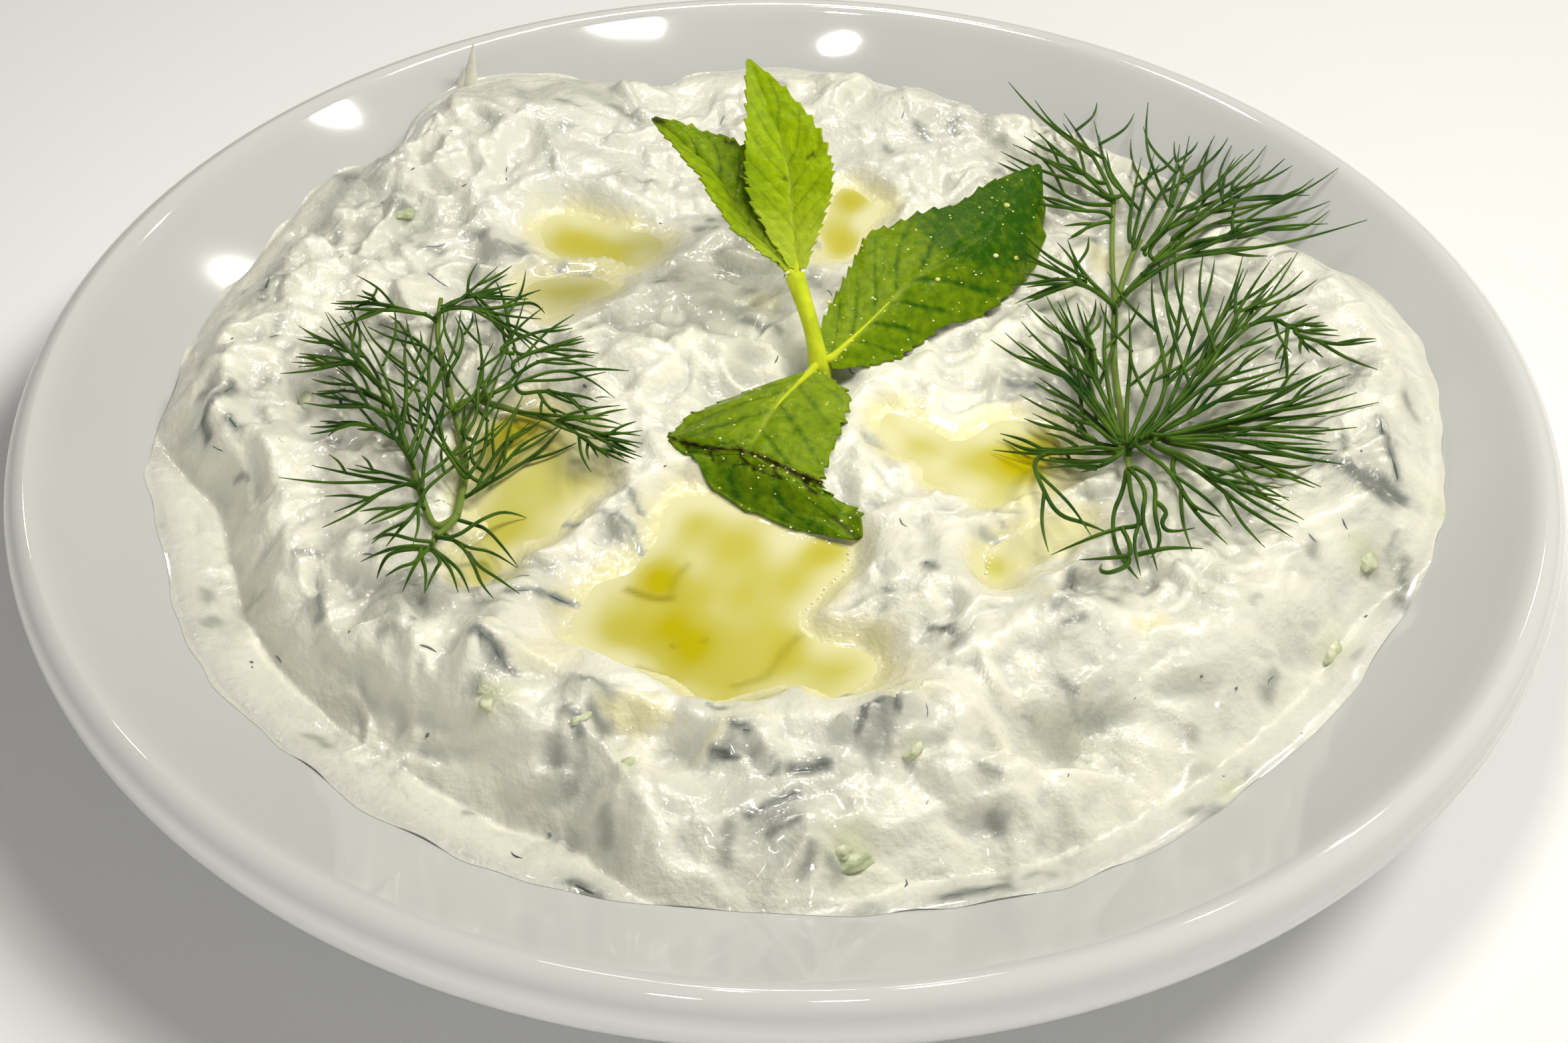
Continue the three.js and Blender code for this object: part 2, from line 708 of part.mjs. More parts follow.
function makeSprig(sprig) {
  const random = seededRandom(sprig.seed);
  const spread = (amount) => amount * (2 * random() - 1);
  const onDip = ([x, y]) => [x, y, dillGround(x, y) + DILL.stemRadius];
  const bar = (points, radius) => taperedBar(points, [radius, DILL.needleTaper * radius], DILL.needleSides);
  const pieces = sprig.stems.map((stem) => {
    const points = stem.map(onDip);
    const radii = points.map((_, i) => DILL.stemRadius * (1 - (DILL.stemTaper * i) / points.length));
    return taperedBar(points, radii, DILL.stemSides);
  });
  for (const fan of sprig.fans) {
    const hub = onDip(fan.at);
    pieces.push(welded(new THREE.IcosahedronGeometry(DILL.hubRadius, 0).translate(...hub)));
    for (let i = 0; i < fan.count; i += 1) {
      const share = i / (fan.count - 1);
      const heading = lerp(fan.from, fan.to, share) + spread(DILL.headingSpread);
      const reach = lerp(...fan.reach, share) * (1 + spread(DILL.reachSpread));
      const turn = spread(DILL.bend);
      const rise = DILL.rise * (1 + spread(DILL.riseSpread));
      const branch = needlePoints(hub, heading, reach, turn, rise, [0.5, 1]);
      pieces.push(bar(branch, DILL.needleRadius));
      DILL.forks.forEach((fork, k) => {
        const side = (k + i) % 2 === 0 ? 1 : -1;
        const forkHeading = heading + turn * fork + side * DILL.forkAngle * (1 + spread(DILL.forkSpread));
        const forkReach = reach * DILL.forkReach * (1 + spread(DILL.forkSpread));
        const start = pointAlong(branch, fork);
        const forked = needlePoints(start, forkHeading, forkReach, 0, DILL.forkRise, [1]);
        pieces.push(bar(forked, DILL.forkRadius));
      });
    }
  }
  return geometryFrom(wasm.Manifold.union(pieces.map(solidOf)));
}

const haydari = new THREE.Group();

function place(name, geometry, look) {
  const mesh = new THREE.Mesh(geometry, look);
  mesh.name = name;
  geometry.computeVertexNormals();
  haydari.add(mesh);
}

place('dish', makeDish(), material(LOOKS.porcelain));
place('haydari', makeDip(), material(LOOKS.dip));
for (const pool of POOLS) {
  place(pool.name, makePool(pool), material(LOOKS.oil));
}
place('mint_stem', makeStem(STEM.radius), material(LOOKS.stem));
LEAVES.forEach((leaf, i) => {
  const sheet = thinSheet(leafSurfaces[i], LEAF.thickness);
  place(leaf.name, sheet, material({ ...LOOKS.leaf, colour: leaf.colour }));
});
for (const sprig of SPRIGS) {
  place(sprig.name, makeSprig(sprig), material(LOOKS.dill));
}

export default haydari;
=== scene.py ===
import math
import random

import bmesh
import bpy
import numpy as np
from mathutils import Matrix, Vector, noise


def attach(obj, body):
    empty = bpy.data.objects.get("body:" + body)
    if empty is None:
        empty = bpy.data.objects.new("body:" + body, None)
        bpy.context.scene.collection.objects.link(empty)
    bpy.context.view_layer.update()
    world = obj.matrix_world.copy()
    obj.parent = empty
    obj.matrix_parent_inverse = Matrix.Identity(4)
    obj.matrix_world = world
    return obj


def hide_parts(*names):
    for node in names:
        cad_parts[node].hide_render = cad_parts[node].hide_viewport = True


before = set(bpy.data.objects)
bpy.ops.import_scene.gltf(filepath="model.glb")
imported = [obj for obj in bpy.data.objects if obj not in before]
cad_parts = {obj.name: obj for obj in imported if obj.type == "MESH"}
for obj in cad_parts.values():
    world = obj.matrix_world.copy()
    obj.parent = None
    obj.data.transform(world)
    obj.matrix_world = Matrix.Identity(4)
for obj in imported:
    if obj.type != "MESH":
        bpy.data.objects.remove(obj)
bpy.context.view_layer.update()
mm = 0.001
scene = bpy.context.scene
print("frame loaded:", len(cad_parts), "nodes")

# camera: pixels of the picture, focal length in pixels, and the point in mm that the view aims at
photo = {"width": 2357, "height": 1568, "focal": 3540, "sensor": 36.0,
         "aim": (-0.08, -18.43, 14.0), "distance": 300.0, "elevation": 42.53, "roll": 1.28}


def viewAxes():
    elevation, roll = math.radians(photo["elevation"]), math.radians(photo["roll"])
    back = np.array([0.0, -math.cos(elevation), math.sin(elevation)])
    level = np.array([1.0, 0.0, 0.0])
    upright = np.cross(back, level)
    right = math.cos(roll) * level + math.sin(roll) * upright
    up = math.cos(roll) * upright - math.sin(roll) * level
    return right, up, back


viewRight, viewUp, viewBack = viewAxes()
viewPoint = np.array(photo["aim"]) + photo["distance"] * viewBack


def addCamera():
    lens = bpy.data.cameras.new("camera")
    lens.sensor_fit = "HORIZONTAL"
    lens.sensor_width = photo["sensor"]
    lens.lens = photo["focal"] / photo["width"] * photo["sensor"]
    lens.clip_start = 0.01
    camera = bpy.data.objects.new("camera", lens)
    turn = Matrix([viewRight, viewUp, viewBack]).transposed().to_4x4()
    camera.matrix_world = Matrix.Translation(Vector(viewPoint) * mm) @ turn
    scene.collection.objects.link(camera)
    scene.camera = camera


addCamera()


def toPhoto(points):          # mm to pixels
    away = np.asarray(points) - viewPoint
    depth = -(away @ viewBack)
    across = photo["width"] / 2 + photo["focal"] * (away @ viewRight) / depth
    down = photo["height"] / 2 - photo["focal"] * (away @ viewUp) / depth
    return across, down


def pixelRay(pixels):
    pixels = np.atleast_2d(np.asarray(pixels, float))
    across = (pixels[:, 0] - photo["width"] / 2) / photo["focal"]
    up = (photo["height"] / 2 - pixels[:, 1]) / photo["focal"]
    return across[:, None] * viewRight + up[:, None] * viewUp - viewBack


# shared shapes and sums
def smoothstep(value, low, high):
    share = np.clip((value - low) / (high - low), 0, 1)
    return share * share * (3 - 2 * share)


def bell(distance, half):
    return np.exp(-(distance / half) ** 2)


def spotDistance(x, y, spot):
    return np.hypot(x - spot[0], y - spot[1])


def pathDistance(x, y, path):          # nearest distance, and the side of the path it is on
    nearest = np.full(np.shape(x), 1e9)
    side = np.zeros(np.shape(x))
    for (startX, startY), (endX, endY) in zip(path, path[1:]):
        runX, runY = endX - startX, endY - startY
        along = ((x - startX) * runX + (y - startY) * runY) / (runX * runX + runY * runY)
        along = np.clip(along, 0, 1)
        offX, offY = x - startX - along * runX, y - startY - along * runY
        distance = np.hypot(offX, offY)
        closer = distance < nearest
        nearest = np.where(closer, distance, nearest)
        side = np.where(closer, np.sign(runX * offY - runY * offX), side)
    return nearest, side


def outlineDistance(x, y, outline):          # to a closed outline, below nought inside
    outline = [tuple(point) for point in outline]
    nearest = pathDistance(x, y, outline + outline[:1])[0]
    inside = np.zeros(np.shape(x), bool)
    for (startX, startY), (endX, endY) in zip(outline, outline[1:] + outline[:1]):
        spans = (startY > y) != (endY > y)
        rise = endY - startY if endY != startY else 1e-9
        inside ^= spans & (x < startX + (y - startY) * (endX - startX) / rise)
    return np.where(inside, -nearest, nearest)


def smoothCurve(points, shares):          # centripetal curve through the points
    points = [np.array(point, float) for point in points]
    points = [2 * points[0] - points[1]] + points + [2 * points[-1] - points[-2]]
    spans = len(points) - 3
    out = []
    for share in shares:
        span = min(int(share * spans), spans - 1)
        part = share * spans - span
        p0, p1, p2, p3 = points[span:span + 4]
        d0, d1, d2 = [max(np.linalg.norm(b - a), 1e-4) ** 0.5 for a, b in ((p0, p1), (p1, p2), (p2, p3))]
        pull1 = ((p1 - p0) / d0 - (p2 - p0) / (d0 + d1) + (p2 - p1) / d1) * d1
        pull2 = ((p2 - p1) / d1 - (p3 - p1) / (d1 + d2) + (p3 - p2) / d2) * d1
        curl = 2 * p1 - 2 * p2 + pull1 + pull2
        bend = -3 * p1 + 3 * p2 - 2 * pull1 - pull2
        out.append(p1 + pull1 * part + bend * part ** 2 + curl * part ** 3)
    return np.array(out)


def onDisc(radius, angle):
    return radius * math.cos(angle), radius * math.sin(angle)


def bentPath(start, heading, bend, step, count):          # even steps, each turned a little further
    path = [start]
    for part in range(count):
        stepX, stepY = onDisc(step, heading + bend * part)
        path.append((path[-1][0] + stepX, path[-1][1] + stepY))
    return path


def noiseAt(x, y, size, seed):
    x, y = np.ravel(x) / size, np.ravel(y) / size
    return np.array([noise.noise((a, b, seed)) for a, b in zip(x.tolist(), y.tolist())])


def curdGap(x, y, size):          # nought on small lumps, and growing into the gaps between them
    x, y = np.ravel(x) / size, np.ravel(y) / size
    return np.array([noise.voronoi((a, b, 0.5))[0][0] for a, b in zip(x.tolist(), y.tolist())])


def readPoints(mesh):
    points = np.zeros(len(mesh.vertices) * 3)
    mesh.vertices.foreach_get("co", points)
    return points.reshape(-1, 3) / mm


def writePoints(mesh, points):
    mesh.vertices.foreach_set("co", (np.asarray(points) * mm).ravel())
    mesh.update()


def paint(mesh, name, *masks):          # up to four masks, kept as one colour at each point
    layer = mesh.attributes.new(name, "FLOAT_COLOR", "POINT")
    colours = np.zeros((len(mesh.vertices), 4))
    colours[:, 3] = 1
    for channel, mask in enumerate(masks):
        colours[:, channel] = np.clip(mask, 0, 1)
    layer.data.foreach_set("color", colours.ravel())


def makePiece(name, mesh, material, slot, *nodes):
    mesh.materials.append(material)
    for face in mesh.polygons:
        face.use_smooth = True
    piece = bpy.data.objects.new(name, mesh)
    scene.collection.objects.link(piece)
    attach(piece, "root")
    if nodes:
        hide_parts(*nodes)
    return piece


def meshFrom(bm, name):
    mesh = bpy.data.meshes.new(name)
    bm.to_mesh(mesh)
    bm.free()
    return mesh


def partsOf(geom, kind):
    return [item for item in geom if isinstance(item, kind)]


# a grid pressed into a round: corners of the square go to the circle
def roundGrid(cells):
    bm = bmesh.new()
    bmesh.ops.create_grid(bm, x_segments=cells, y_segments=cells, size=1.0)
    for vert in bm.verts:
        x, y = vert.co.x, vert.co.y
        vert.co.x = x * math.sqrt(1 - y * y / 2)
        vert.co.y = y * math.sqrt(1 - x * x / 2)
    return bm


# materials
def newMaterial(name, **values):
    material = bpy.data.materials.new(name)
    material.use_nodes = True
    shader = material.node_tree.nodes["Principled BSDF"]
    for socket, value in values.items():
        shader.inputs[socket.replace("_", " ")].default_value = value
    return material, material.node_tree, shader


def addNode(tree, kind, links=None, **settings):
    node = tree.nodes.new(kind)
    for key, value in settings.items():
        setattr(node, key, value)
    for socket, source in (links or {}).items():
        if hasattr(source, "is_linked"):
            tree.links.new(source, node.inputs[socket])
        else:
            node.inputs[socket].default_value = source
    return node


def mixColour(tree, factor, first, second):
    node = addNode(tree, "ShaderNodeMix", data_type="RGBA")
    for socket, source in ((node.inputs[0], factor), (node.inputs[6], first), (node.inputs[7], second)):
        if hasattr(source, "is_linked"):
            tree.links.new(source, socket)
        else:
            socket.default_value = source if isinstance(source, float) else (*source, 1.0)
    return node.outputs[2]


def calculate(tree, operation, first, second):
    return addNode(tree, "ShaderNodeMath", {0: first, 1: second}, operation=operation).outputs[0]


def stretch(tree, value, low, high, top=1.0):          # nought at low, and top at high
    return addNode(tree, "ShaderNodeMapRange", {0: value, 1: low, 2: high, 4: top}).outputs[0]


def threeTones(tree, mask, first, middle, last):          # the middle one where the mask is a half
    doubled = addNode(tree, "ShaderNodeClamp", {0: calculate(tree, "MULTIPLY", mask, 2.0)}).outputs[0]
    colour = mixColour(tree, doubled, first, middle)
    return mixColour(tree, stretch(tree, mask, 0.5, 1.0), colour, last)


def paintMasks(tree, name):
    attribute = addNode(tree, "ShaderNodeAttribute", attribute_name=name)
    split = addNode(tree, "ShaderNodeSeparateColor", {0: attribute.outputs["Color"]})
    return *split.outputs, attribute.outputs["Alpha"]


def objectCoords(tree):
    return addNode(tree, "ShaderNodeTexCoord").outputs["Object"]


def clouds(tree, start, scale, detail):
    return addNode(tree, "ShaderNodeTexNoise",
                   {"Vector": start.outputs["Vector"], "Scale": scale, "Detail": detail})


# uneven tone of a grown or mixed thing: a soft mask of cloud
def cloudGroup():
    tree = bpy.data.node_groups.new("uneven tone", "ShaderNodeTree")
    for name, kind in (("Vector", "NodeSocketVector"), ("Size", "NodeSocketFloat")):
        tree.interface.new_socket(name, in_out="INPUT", socket_type=kind)
    tree.interface.new_socket("Mask", in_out="OUTPUT", socket_type="NodeSocketFloat")
    start, end = addNode(tree, "NodeGroupInput"), addNode(tree, "NodeGroupOutput")
    scale = calculate(tree, "DIVIDE", 1.0, start.outputs["Size"])
    cloud = clouds(tree, start, scale, 4.0)
    tree.links.new(stretch(tree, cloud.outputs["Fac"], 0.32, 0.68), end.inputs["Mask"])
    return tree


# wet skin: gloss that comes and goes, and fine unevenness for the glints
def wetGroup():
    tree = bpy.data.node_groups.new("wet skin", "ShaderNodeTree")
    for name, kind in (("Vector", "NodeSocketVector"), ("Size", "NodeSocketFloat"),
                       ("Smoothest", "NodeSocketFloat"), ("Roughest", "NodeSocketFloat")):
        tree.interface.new_socket(name, in_out="INPUT", socket_type=kind)
    for name in ("Roughness", "Height"):
        tree.interface.new_socket(name, in_out="OUTPUT", socket_type="NodeSocketFloat")
    start, end = addNode(tree, "NodeGroupInput"), addNode(tree, "NodeGroupOutput")
    scale = calculate(tree, "DIVIDE", 1.0, start.outputs["Size"])
    fine = clouds(tree, start, scale, 4.0)
    patch = clouds(tree, start, calculate(tree, "DIVIDE", scale, 5.0), 2.0)
    rough = addNode(tree, "ShaderNodeMapRange", {
        "Value": patch.outputs["Fac"], "From Min": 0.35, "From Max": 0.65,
        "To Min": start.outputs["Smoothest"], "To Max": start.outputs["Roughest"]})
    tree.links.new(rough.outputs["Result"], end.inputs["Roughness"])
    tree.links.new(fine.outputs["Fac"], end.inputs["Height"])
    return tree


unevenTone, wetSkin = cloudGroup(), wetGroup()


def addCloud(tree, size):
    group = addNode(tree, "ShaderNodeGroup", node_tree=unevenTone)
    group.inputs["Size"].default_value = size * mm
    tree.links.new(objectCoords(tree), group.inputs["Vector"])
    return group.outputs["Mask"]


# a look's colour, and its wet skin: size of the unevenness, smoothest, roughest, depth of the unevenness
def finishLook(tree, shader, colour, size, smoothest, roughest, bump):
    tree.links.new(colour, shader.inputs["Base Color"])
    group = addNode(tree, "ShaderNodeGroup", node_tree=wetSkin)
    for name, value in (("Size", size * mm), ("Smoothest", smoothest), ("Roughest", roughest)):
        group.inputs[name].default_value = value
    tree.links.new(objectCoords(tree), group.inputs["Vector"])
    tree.links.new(group.outputs["Roughness"], shader.inputs["Roughness"])
    relief = addNode(tree, "ShaderNodeBump", {"Height": group.outputs["Height"]})
    relief.inputs["Strength"].default_value = 1.0
    relief.inputs["Distance"].default_value = bump * mm
    tree.links.new(relief.outputs["Normal"], shader.inputs["Normal"])


# porcelain dish: turned profile in mm
dish = {"radius": 100, "crestRadius": 96.8, "rimHeight": 22.2, "rimMiddle": 18.6, "rimBottom": 13.4,
        "floorRadius": 52, "floorHeight": 5.5, "wallPower": 1.6, "footThickness": 4, "footInner": 50,
        "footOuter": 55, "footChamfer": 1.5, "recess": 2.4, "wallSteps": 26, "rimSteps": 28, "turns": 200,
        "toneSize": 70, "wet": (9, 0.03, 0.06, 0.01),
        # rim: the rim painted lighter, as painted light falling on it
        "colour": (0.58, 0.59, 0.57), "shade": (0.54, 0.55, 0.535), "rim": (0.74, 0.745, 0.72)}


def wallHeight(radius):
    climb = np.clip((radius - dish["floorRadius"]) / (dish["crestRadius"] - dish["floorRadius"]), 0, 1)
    return dish["floorHeight"] + (dish["rimHeight"] - dish["floorHeight"]) * climb ** dish["wallPower"]


def dishProfile():
    reach, crest = dish["radius"] - dish["crestRadius"], dish["crestRadius"]
    depth = dish["rimHeight"] - dish["rimBottom"]
    inner, outer, chamfer = dish["footInner"], dish["footOuter"], dish["footChamfer"]
    # foot ring, softly rounded
    profile = [(0, dish["recess"]), (inner - 2 * chamfer, dish["recess"]),
               (inner - chamfer, dish["recess"] - 0.2), (inner - 0.4, 0.35), (inner + 0.3, 0),
               (outer - 0.3, 0), (outer + 0.4, 0.3)]
    for step in range(dish["wallSteps"]):
        share = step / dish["wallSteps"]
        radius = outer + chamfer + share * (crest - outer - chamfer)
        thickness = dish["footThickness"] + share * (depth - dish["footThickness"])
        profile.append((radius, float(wallHeight(radius)) - thickness))
    for step in range(dish["rimSteps"] + 1):
        turn = math.pi * (step / dish["rimSteps"] - 0.5)
        height = dish["rimMiddle"] - dish["rimBottom"] if turn < 0 else dish["rimHeight"] - dish["rimMiddle"]
        profile.append((crest + reach * math.cos(turn), dish["rimMiddle"] + height * math.sin(turn)))
    for step in range(dish["wallSteps"] - 1, -1, -1):
        radius = dish["floorRadius"] + step / dish["wallSteps"] * (crest - dish["floorRadius"])
        profile.append((radius, float(wallHeight(radius))))
    profile.append((0, dish["floorHeight"]))
    return profile


def addDish():
    bm = bmesh.new()
    verts = [bm.verts.new((radius * mm, 0, height * mm)) for radius, height in dishProfile()]
    edges = [bm.edges.new(pair) for pair in zip(verts, verts[1:])]
    bmesh.ops.spin(bm, geom=verts + edges, cent=(0, 0, 0), axis=(0, 0, 1), angle=2 * math.pi,
                   steps=dish["turns"], use_merge=True)
    bmesh.ops.remove_doubles(bm, verts=bm.verts, dist=0.01 * mm)
    bmesh.ops.recalc_face_normals(bm, faces=bm.faces)
    glaze, tree, shader = newMaterial("glazed porcelain", Specular_IOR_Level=0.6)
    mesh = meshFrom(bm, "porcelain_dish")
    points = readPoints(mesh)
    radius = np.hypot(points[:, 0], points[:, 1])
    # painted light: the rim and its outer edge lighter than the wall
    paint(mesh, "paintedRimLight", smoothstep(radius, dish["crestRadius"] - 3, dish["radius"] - 1))
    colour = mixColour(tree, addCloud(tree, dish["toneSize"]), dish["colour"], dish["shade"])
    colour = mixColour(tree, paintMasks(tree, "paintedRimLight")[0], colour, dish["rim"])
    finishLook(tree, shader, colour, *dish["wet"])
    makePiece("porcelain_dish", mesh, glaze, "porcelain", "dish")
    print("dish turned")


addDish()

# dip: the heap in mm; strokes and lumps as the spoon left them
dip = {"cells": 306, "edgeRadius": 82, "edgeWave": 0.7, "edgeThickness": 0.9, "edgeRound": 3.2,
       "leastDepth": 0.06, "fall": 10, "middleHeight": 17.2, "ringHeight": 19.4, "ringRadius": 62,
       "ringHalf": 24, "smearFade": 0.7, "gap": 0.03, "ragged": 0.9, "underShares": (1.0, 0.9, 0.76, 0.6),
       "foldRise": 1.5, "crest": 2.3, "flank": 0.75, "swell": 1.6, "swellSize": 10, "lump": 1.9,
       "lumpSize": 4.8, "ridge": 1.1, "ridgeSize": 8.5, "grain": 0.55, "grainSize": 2, "curd": 0.8,
       "curdSize": 4.2, "fineCurd": 0.55, "fineCurdSize": 2.4, "warp": 3, "warpSize": 9,
       "hollowShadeShare": 0.72, "thinShare": 0.9, "oiledShare": 0.8, "toneSize": 11,
       "wet": (1.0, 0.03, 0.36, 0.24), "colour": (0.90, 0.885, 0.745), "shade": (0.82, 0.805, 0.685),
       # the hollow colour is painted shade, for hollows and the listed shade places
       "hollowShade": (0.66, 0.67, 0.6), "thin": (0.64, 0.64, 0.575), "veiled": (0.37, 0.385, 0.335),
       "herb": (0.05, 0.064, 0.05), "green": (0.50, 0.56, 0.24), "oiled": (0.84, 0.78, 0.36)}
# middle, half, reach
edgeBulges = [(12, 22, 5), (-12, 12, 3), (94, 20, 2.6), (130, 20, 7.4), (188, 9, 2.6), (136, 4.5, -5),
              (119, 8, 3), (107, 4, -1.6)]
edgeSmears = [(222, 40, 8, 1.0), (308, 36, 5, 1.0)]          # middle, half, width, thickness
spoonStrokes = [          # path, half width, height
    ([(-76, 14), (-77, -3), (-74, -17), (-66, -32), (-57, -44)], 6, 2.4),
    ([(-64, -2), (-59, -24), (-53, -42), (-40, -56)], 5.5, -3),
    ([(-34, -48), (-23, -47), (-13, -53), (4, -55), (22, -56)], 4.6, 3.4),
    ([(-22, 73), (-8, 75), (10, 74), (20, 69)], 7, 2.2),
    ([(36, 66), (50, 58)], 6, 2.6),
    ([(-57, 57), (-49, 65), (-38, 66)], 12, 5.4),
    ([(-42, 52), (-28, 46)], 11, 2.2),
    ([(26, -42), (46, -39), (66, -34)], 9, 1.6),
    ([(28, -57), (44, -52)], 5.5, -2.2),
    ([(73, 33), (78, 18), (80, 3), (78, -18)], 7.5, 3.4),
    ([(-22, 8), (-8, 14), (10, 26)], 7, 1.8),
]
dipLumps = [          # x, y, radius, height
    (17, 69, 6, 3), (80, 3, 4, 2.4), (79, 24, 6, 2.2), (35, -40, 5, 2.4), (-23, -48, 4.5, 1.8),
    (12, -55, 4, 2.2), (-44, -47, 6, 2.4), (-68, -10, 6, 1.6), (-67, 28, 7, 1.6), (20, -32, 6, 1.4),
    (58, 12, 9, 1.4), (60, 46, 8, 1.6), (-8, 58, 7, 1.6), (-12, -64, 7, -1.2), (56, -55, 6, -1.4),
]
# oil: levels in mm; outlines on the picture, in pixels
oil = {"cells": 72, "depth": 1.5, "shore": 4.5, "bank": 0.7, "bankSlope": 0.55, "bankReach": 9,
       "wobble": 0.9, "wobbleSize": 5, "margin": 1.4, "blend": 9, "swell": 0.16,
       "shallow": (0.76, 0.73, 0.42), "mid": (0.57, 0.525, 0.10), "deep": (0.50, 0.43, 0.004),
       # crease: painted shade colour for the oil's creases
       "crease": (0.30, 0.26, 0.015), "creaseDepth": 0.15, "edgeDrop": 0.25, "floorGap": 0.15,
       "leastDepth": 0.6, "wet": (7, 0.05, 0.16, 0.012)}
oilPools = {
    "oil_front": {"level": 15.4, "outline": [
        (1084, 750), (1155, 796), (1278, 817), (1265, 857), (1222, 901), (1199, 924), (1206, 954),
        (1242, 970), (1308, 980), (1324, 1015), (1273, 1056), (1181, 1026), (1150, 1041), (1053, 1056),
        (1018, 1026), (956, 1005), (885, 977), (854, 944), (880, 888), (946, 862), (967, 837), (987, 806),
        (992, 776), (1018, 745)]},
    "oil_left": {"level": 16.1, "outline": [
        (712, 741), (716, 660), (760, 620), (830, 610), (868, 660), (900, 706), (908, 732), (855, 777),
        (824, 808), (775, 824), (757, 857), (717, 884), (690, 862), (700, 830), (743, 800), (712, 768)]},
    "oil_upper": {"level": 17.8, "strength": 0.72, "outline": [
        (812, 362), (824, 328), (854, 322), (900, 337), (993, 358), (993, 379), (934, 415), (854, 396)]},
    "oil_upper_small": {"level": 17.6, "strength": 0.72, "outline": [
        (780, 446), (803, 425), (849, 417), (908, 419), (925, 438), (866, 455), (841, 471), (824, 476),
        (816, 455)]},
    "oil_back": {"level": 17.4, "outline": [
        (1240, 337), (1250, 295), (1270, 280), (1304, 303), (1325, 316), (1300, 349), (1287, 383),
        (1262, 392), (1232, 385)]},
    "oil_right": {"level": 16.6, "strength": 0.9, "outline": [
        (1321, 637), (1341, 617), (1408, 652), (1439, 665), (1471, 652), (1503, 633), (1567, 637),
        (1599, 665), (1618, 713), (1554, 751), (1487, 764), (1459, 735), (1392, 726), (1388, 697),
        (1344, 684)]},
    "oil_right_small": {"level": 16.4, "outline": [
        (1487, 828), (1551, 790), (1583, 777), (1631, 783), (1628, 802), (1554, 831), (1526, 847),
        (1513, 873), (1494, 876), (1484, 857)]},
}
oilDeeps = [          # pixel, half size in mm, strength
    ((1532, 697), 3.4, 1.0), ((1575, 668), 2.4, 0.5), ((990, 872), 3.0, 0.8), ((1000, 940), 5, 0.4),
    ((1060, 1000), 6, 0.5), ((1190, 960), 3, 0.4), ((1240, 830), 3, 0.5), ((760, 640), 4, 0.7),
    ((735, 790), 4, 0.3), ((725, 855), 3, 0.4), ((850, 360), 5, 0.5), ((930, 380), 5, 0.4),
    ((1285, 300), 3, 0.7), ((1262, 360), 4, 0.4), ((840, 440), 4, 0.3), ((1492, 850), 2, 0.4)]
# painted shade: the oil darker along its creases and bubble edges, where its surface is also sunk a little
oilCreases = [          # path in pixels, half width in mm, strength
    ([(945, 886), (966, 894), (988, 899), (1008, 898)], 0.6, 0.8),
    ([(1008, 898), (1009, 884), (1018, 864), (1034, 850)], 0.55, 0.4),
    ([(1200, 957), (1184, 972), (1166, 998), (1148, 1018), (1104, 1031)], 0.6, 0.42),
    ([(960, 1004), (1000, 1020), (1040, 1050)], 0.5, 0.55), ([(1010, 970), (1013, 973)], 0.35, 0.6),
    ([(1056, 964), (1062, 963)], 0.3, 0.6), ([(1278, 1052), (1300, 1030)], 0.5, 0.4),
    ([(900, 740), (850, 790)], 0.4, 0.3)]


def awayFrom(angle, middle):
    return np.abs((np.degrees(angle) - middle + 180) % 360 - 180)


def edgeRadius(angle):
    radius = dip["edgeRadius"] + dip["edgeWave"] * (np.sin(5 * angle + 0.6) + np.sin(9 * angle))
    for middle, half, reach in edgeBulges:
        radius = radius + reach * bell(awayFrom(angle, middle), half)
    return radius


def onLevel(pixels, level):          # where the view through the pixels meets a level, in mm
    rays = pixelRay(pixels)
    return (viewPoint + rays * ((level - viewPoint[2]) / rays[:, 2])[:, None])[:, :2]


def rounded(outline):          # with each corner cut off
    after = np.roll(outline, -1, axis=0)
    return np.stack([0.75 * outline + 0.25 * after, 0.25 * outline + 0.75 * after], 1).reshape(-1, 2)


for pool in oilPools.values():
    pool["shape"] = rounded(onLevel(pool["outline"], pool["level"]))


# small spoon marks all over, fainter on the smooth flank at the front left
spoonMarks = {"seed": 7, "count": 150, "reach": 78, "swerve": 0.9, "bend": 0.5, "step": (1.5, 5.5),
              "steps": 3, "half": (1.2, 3.0), "rise": (0.3, 1.5), "lean": (0.22, 0.7),
              "calm": 0.4, "calmFrom": 56, "calmSide": (190, 300)}


def drawMarks():          # path, half width, height, steepness of the far side
    draw = random.Random(spoonMarks["seed"])
    marks = []
    for _ in range(spoonMarks["count"]):
        radius = spoonMarks["reach"] * math.sqrt(draw.uniform(0.02, 1))
        angle = draw.uniform(0, 2 * math.pi)
        heading = angle + math.pi / 2 + draw.gauss(0, spoonMarks["swerve"])
        bend, step = draw.uniform(-spoonMarks["bend"], spoonMarks["bend"]), draw.uniform(*spoonMarks["step"])
        path = bentPath(onDisc(radius, angle), heading, bend, step, spoonMarks["steps"])
        half, rise, lean = [draw.uniform(*spoonMarks[part]) for part in ("half", "rise", "lean")]
        first, last = spoonMarks["calmSide"]
        if radius > spoonMarks["calmFrom"] and first < math.degrees(angle) < last:
            rise = spoonMarks["calm"] * rise
        marks.append((path, half, rise, lean))
    return marks


smallMarks = drawMarks()
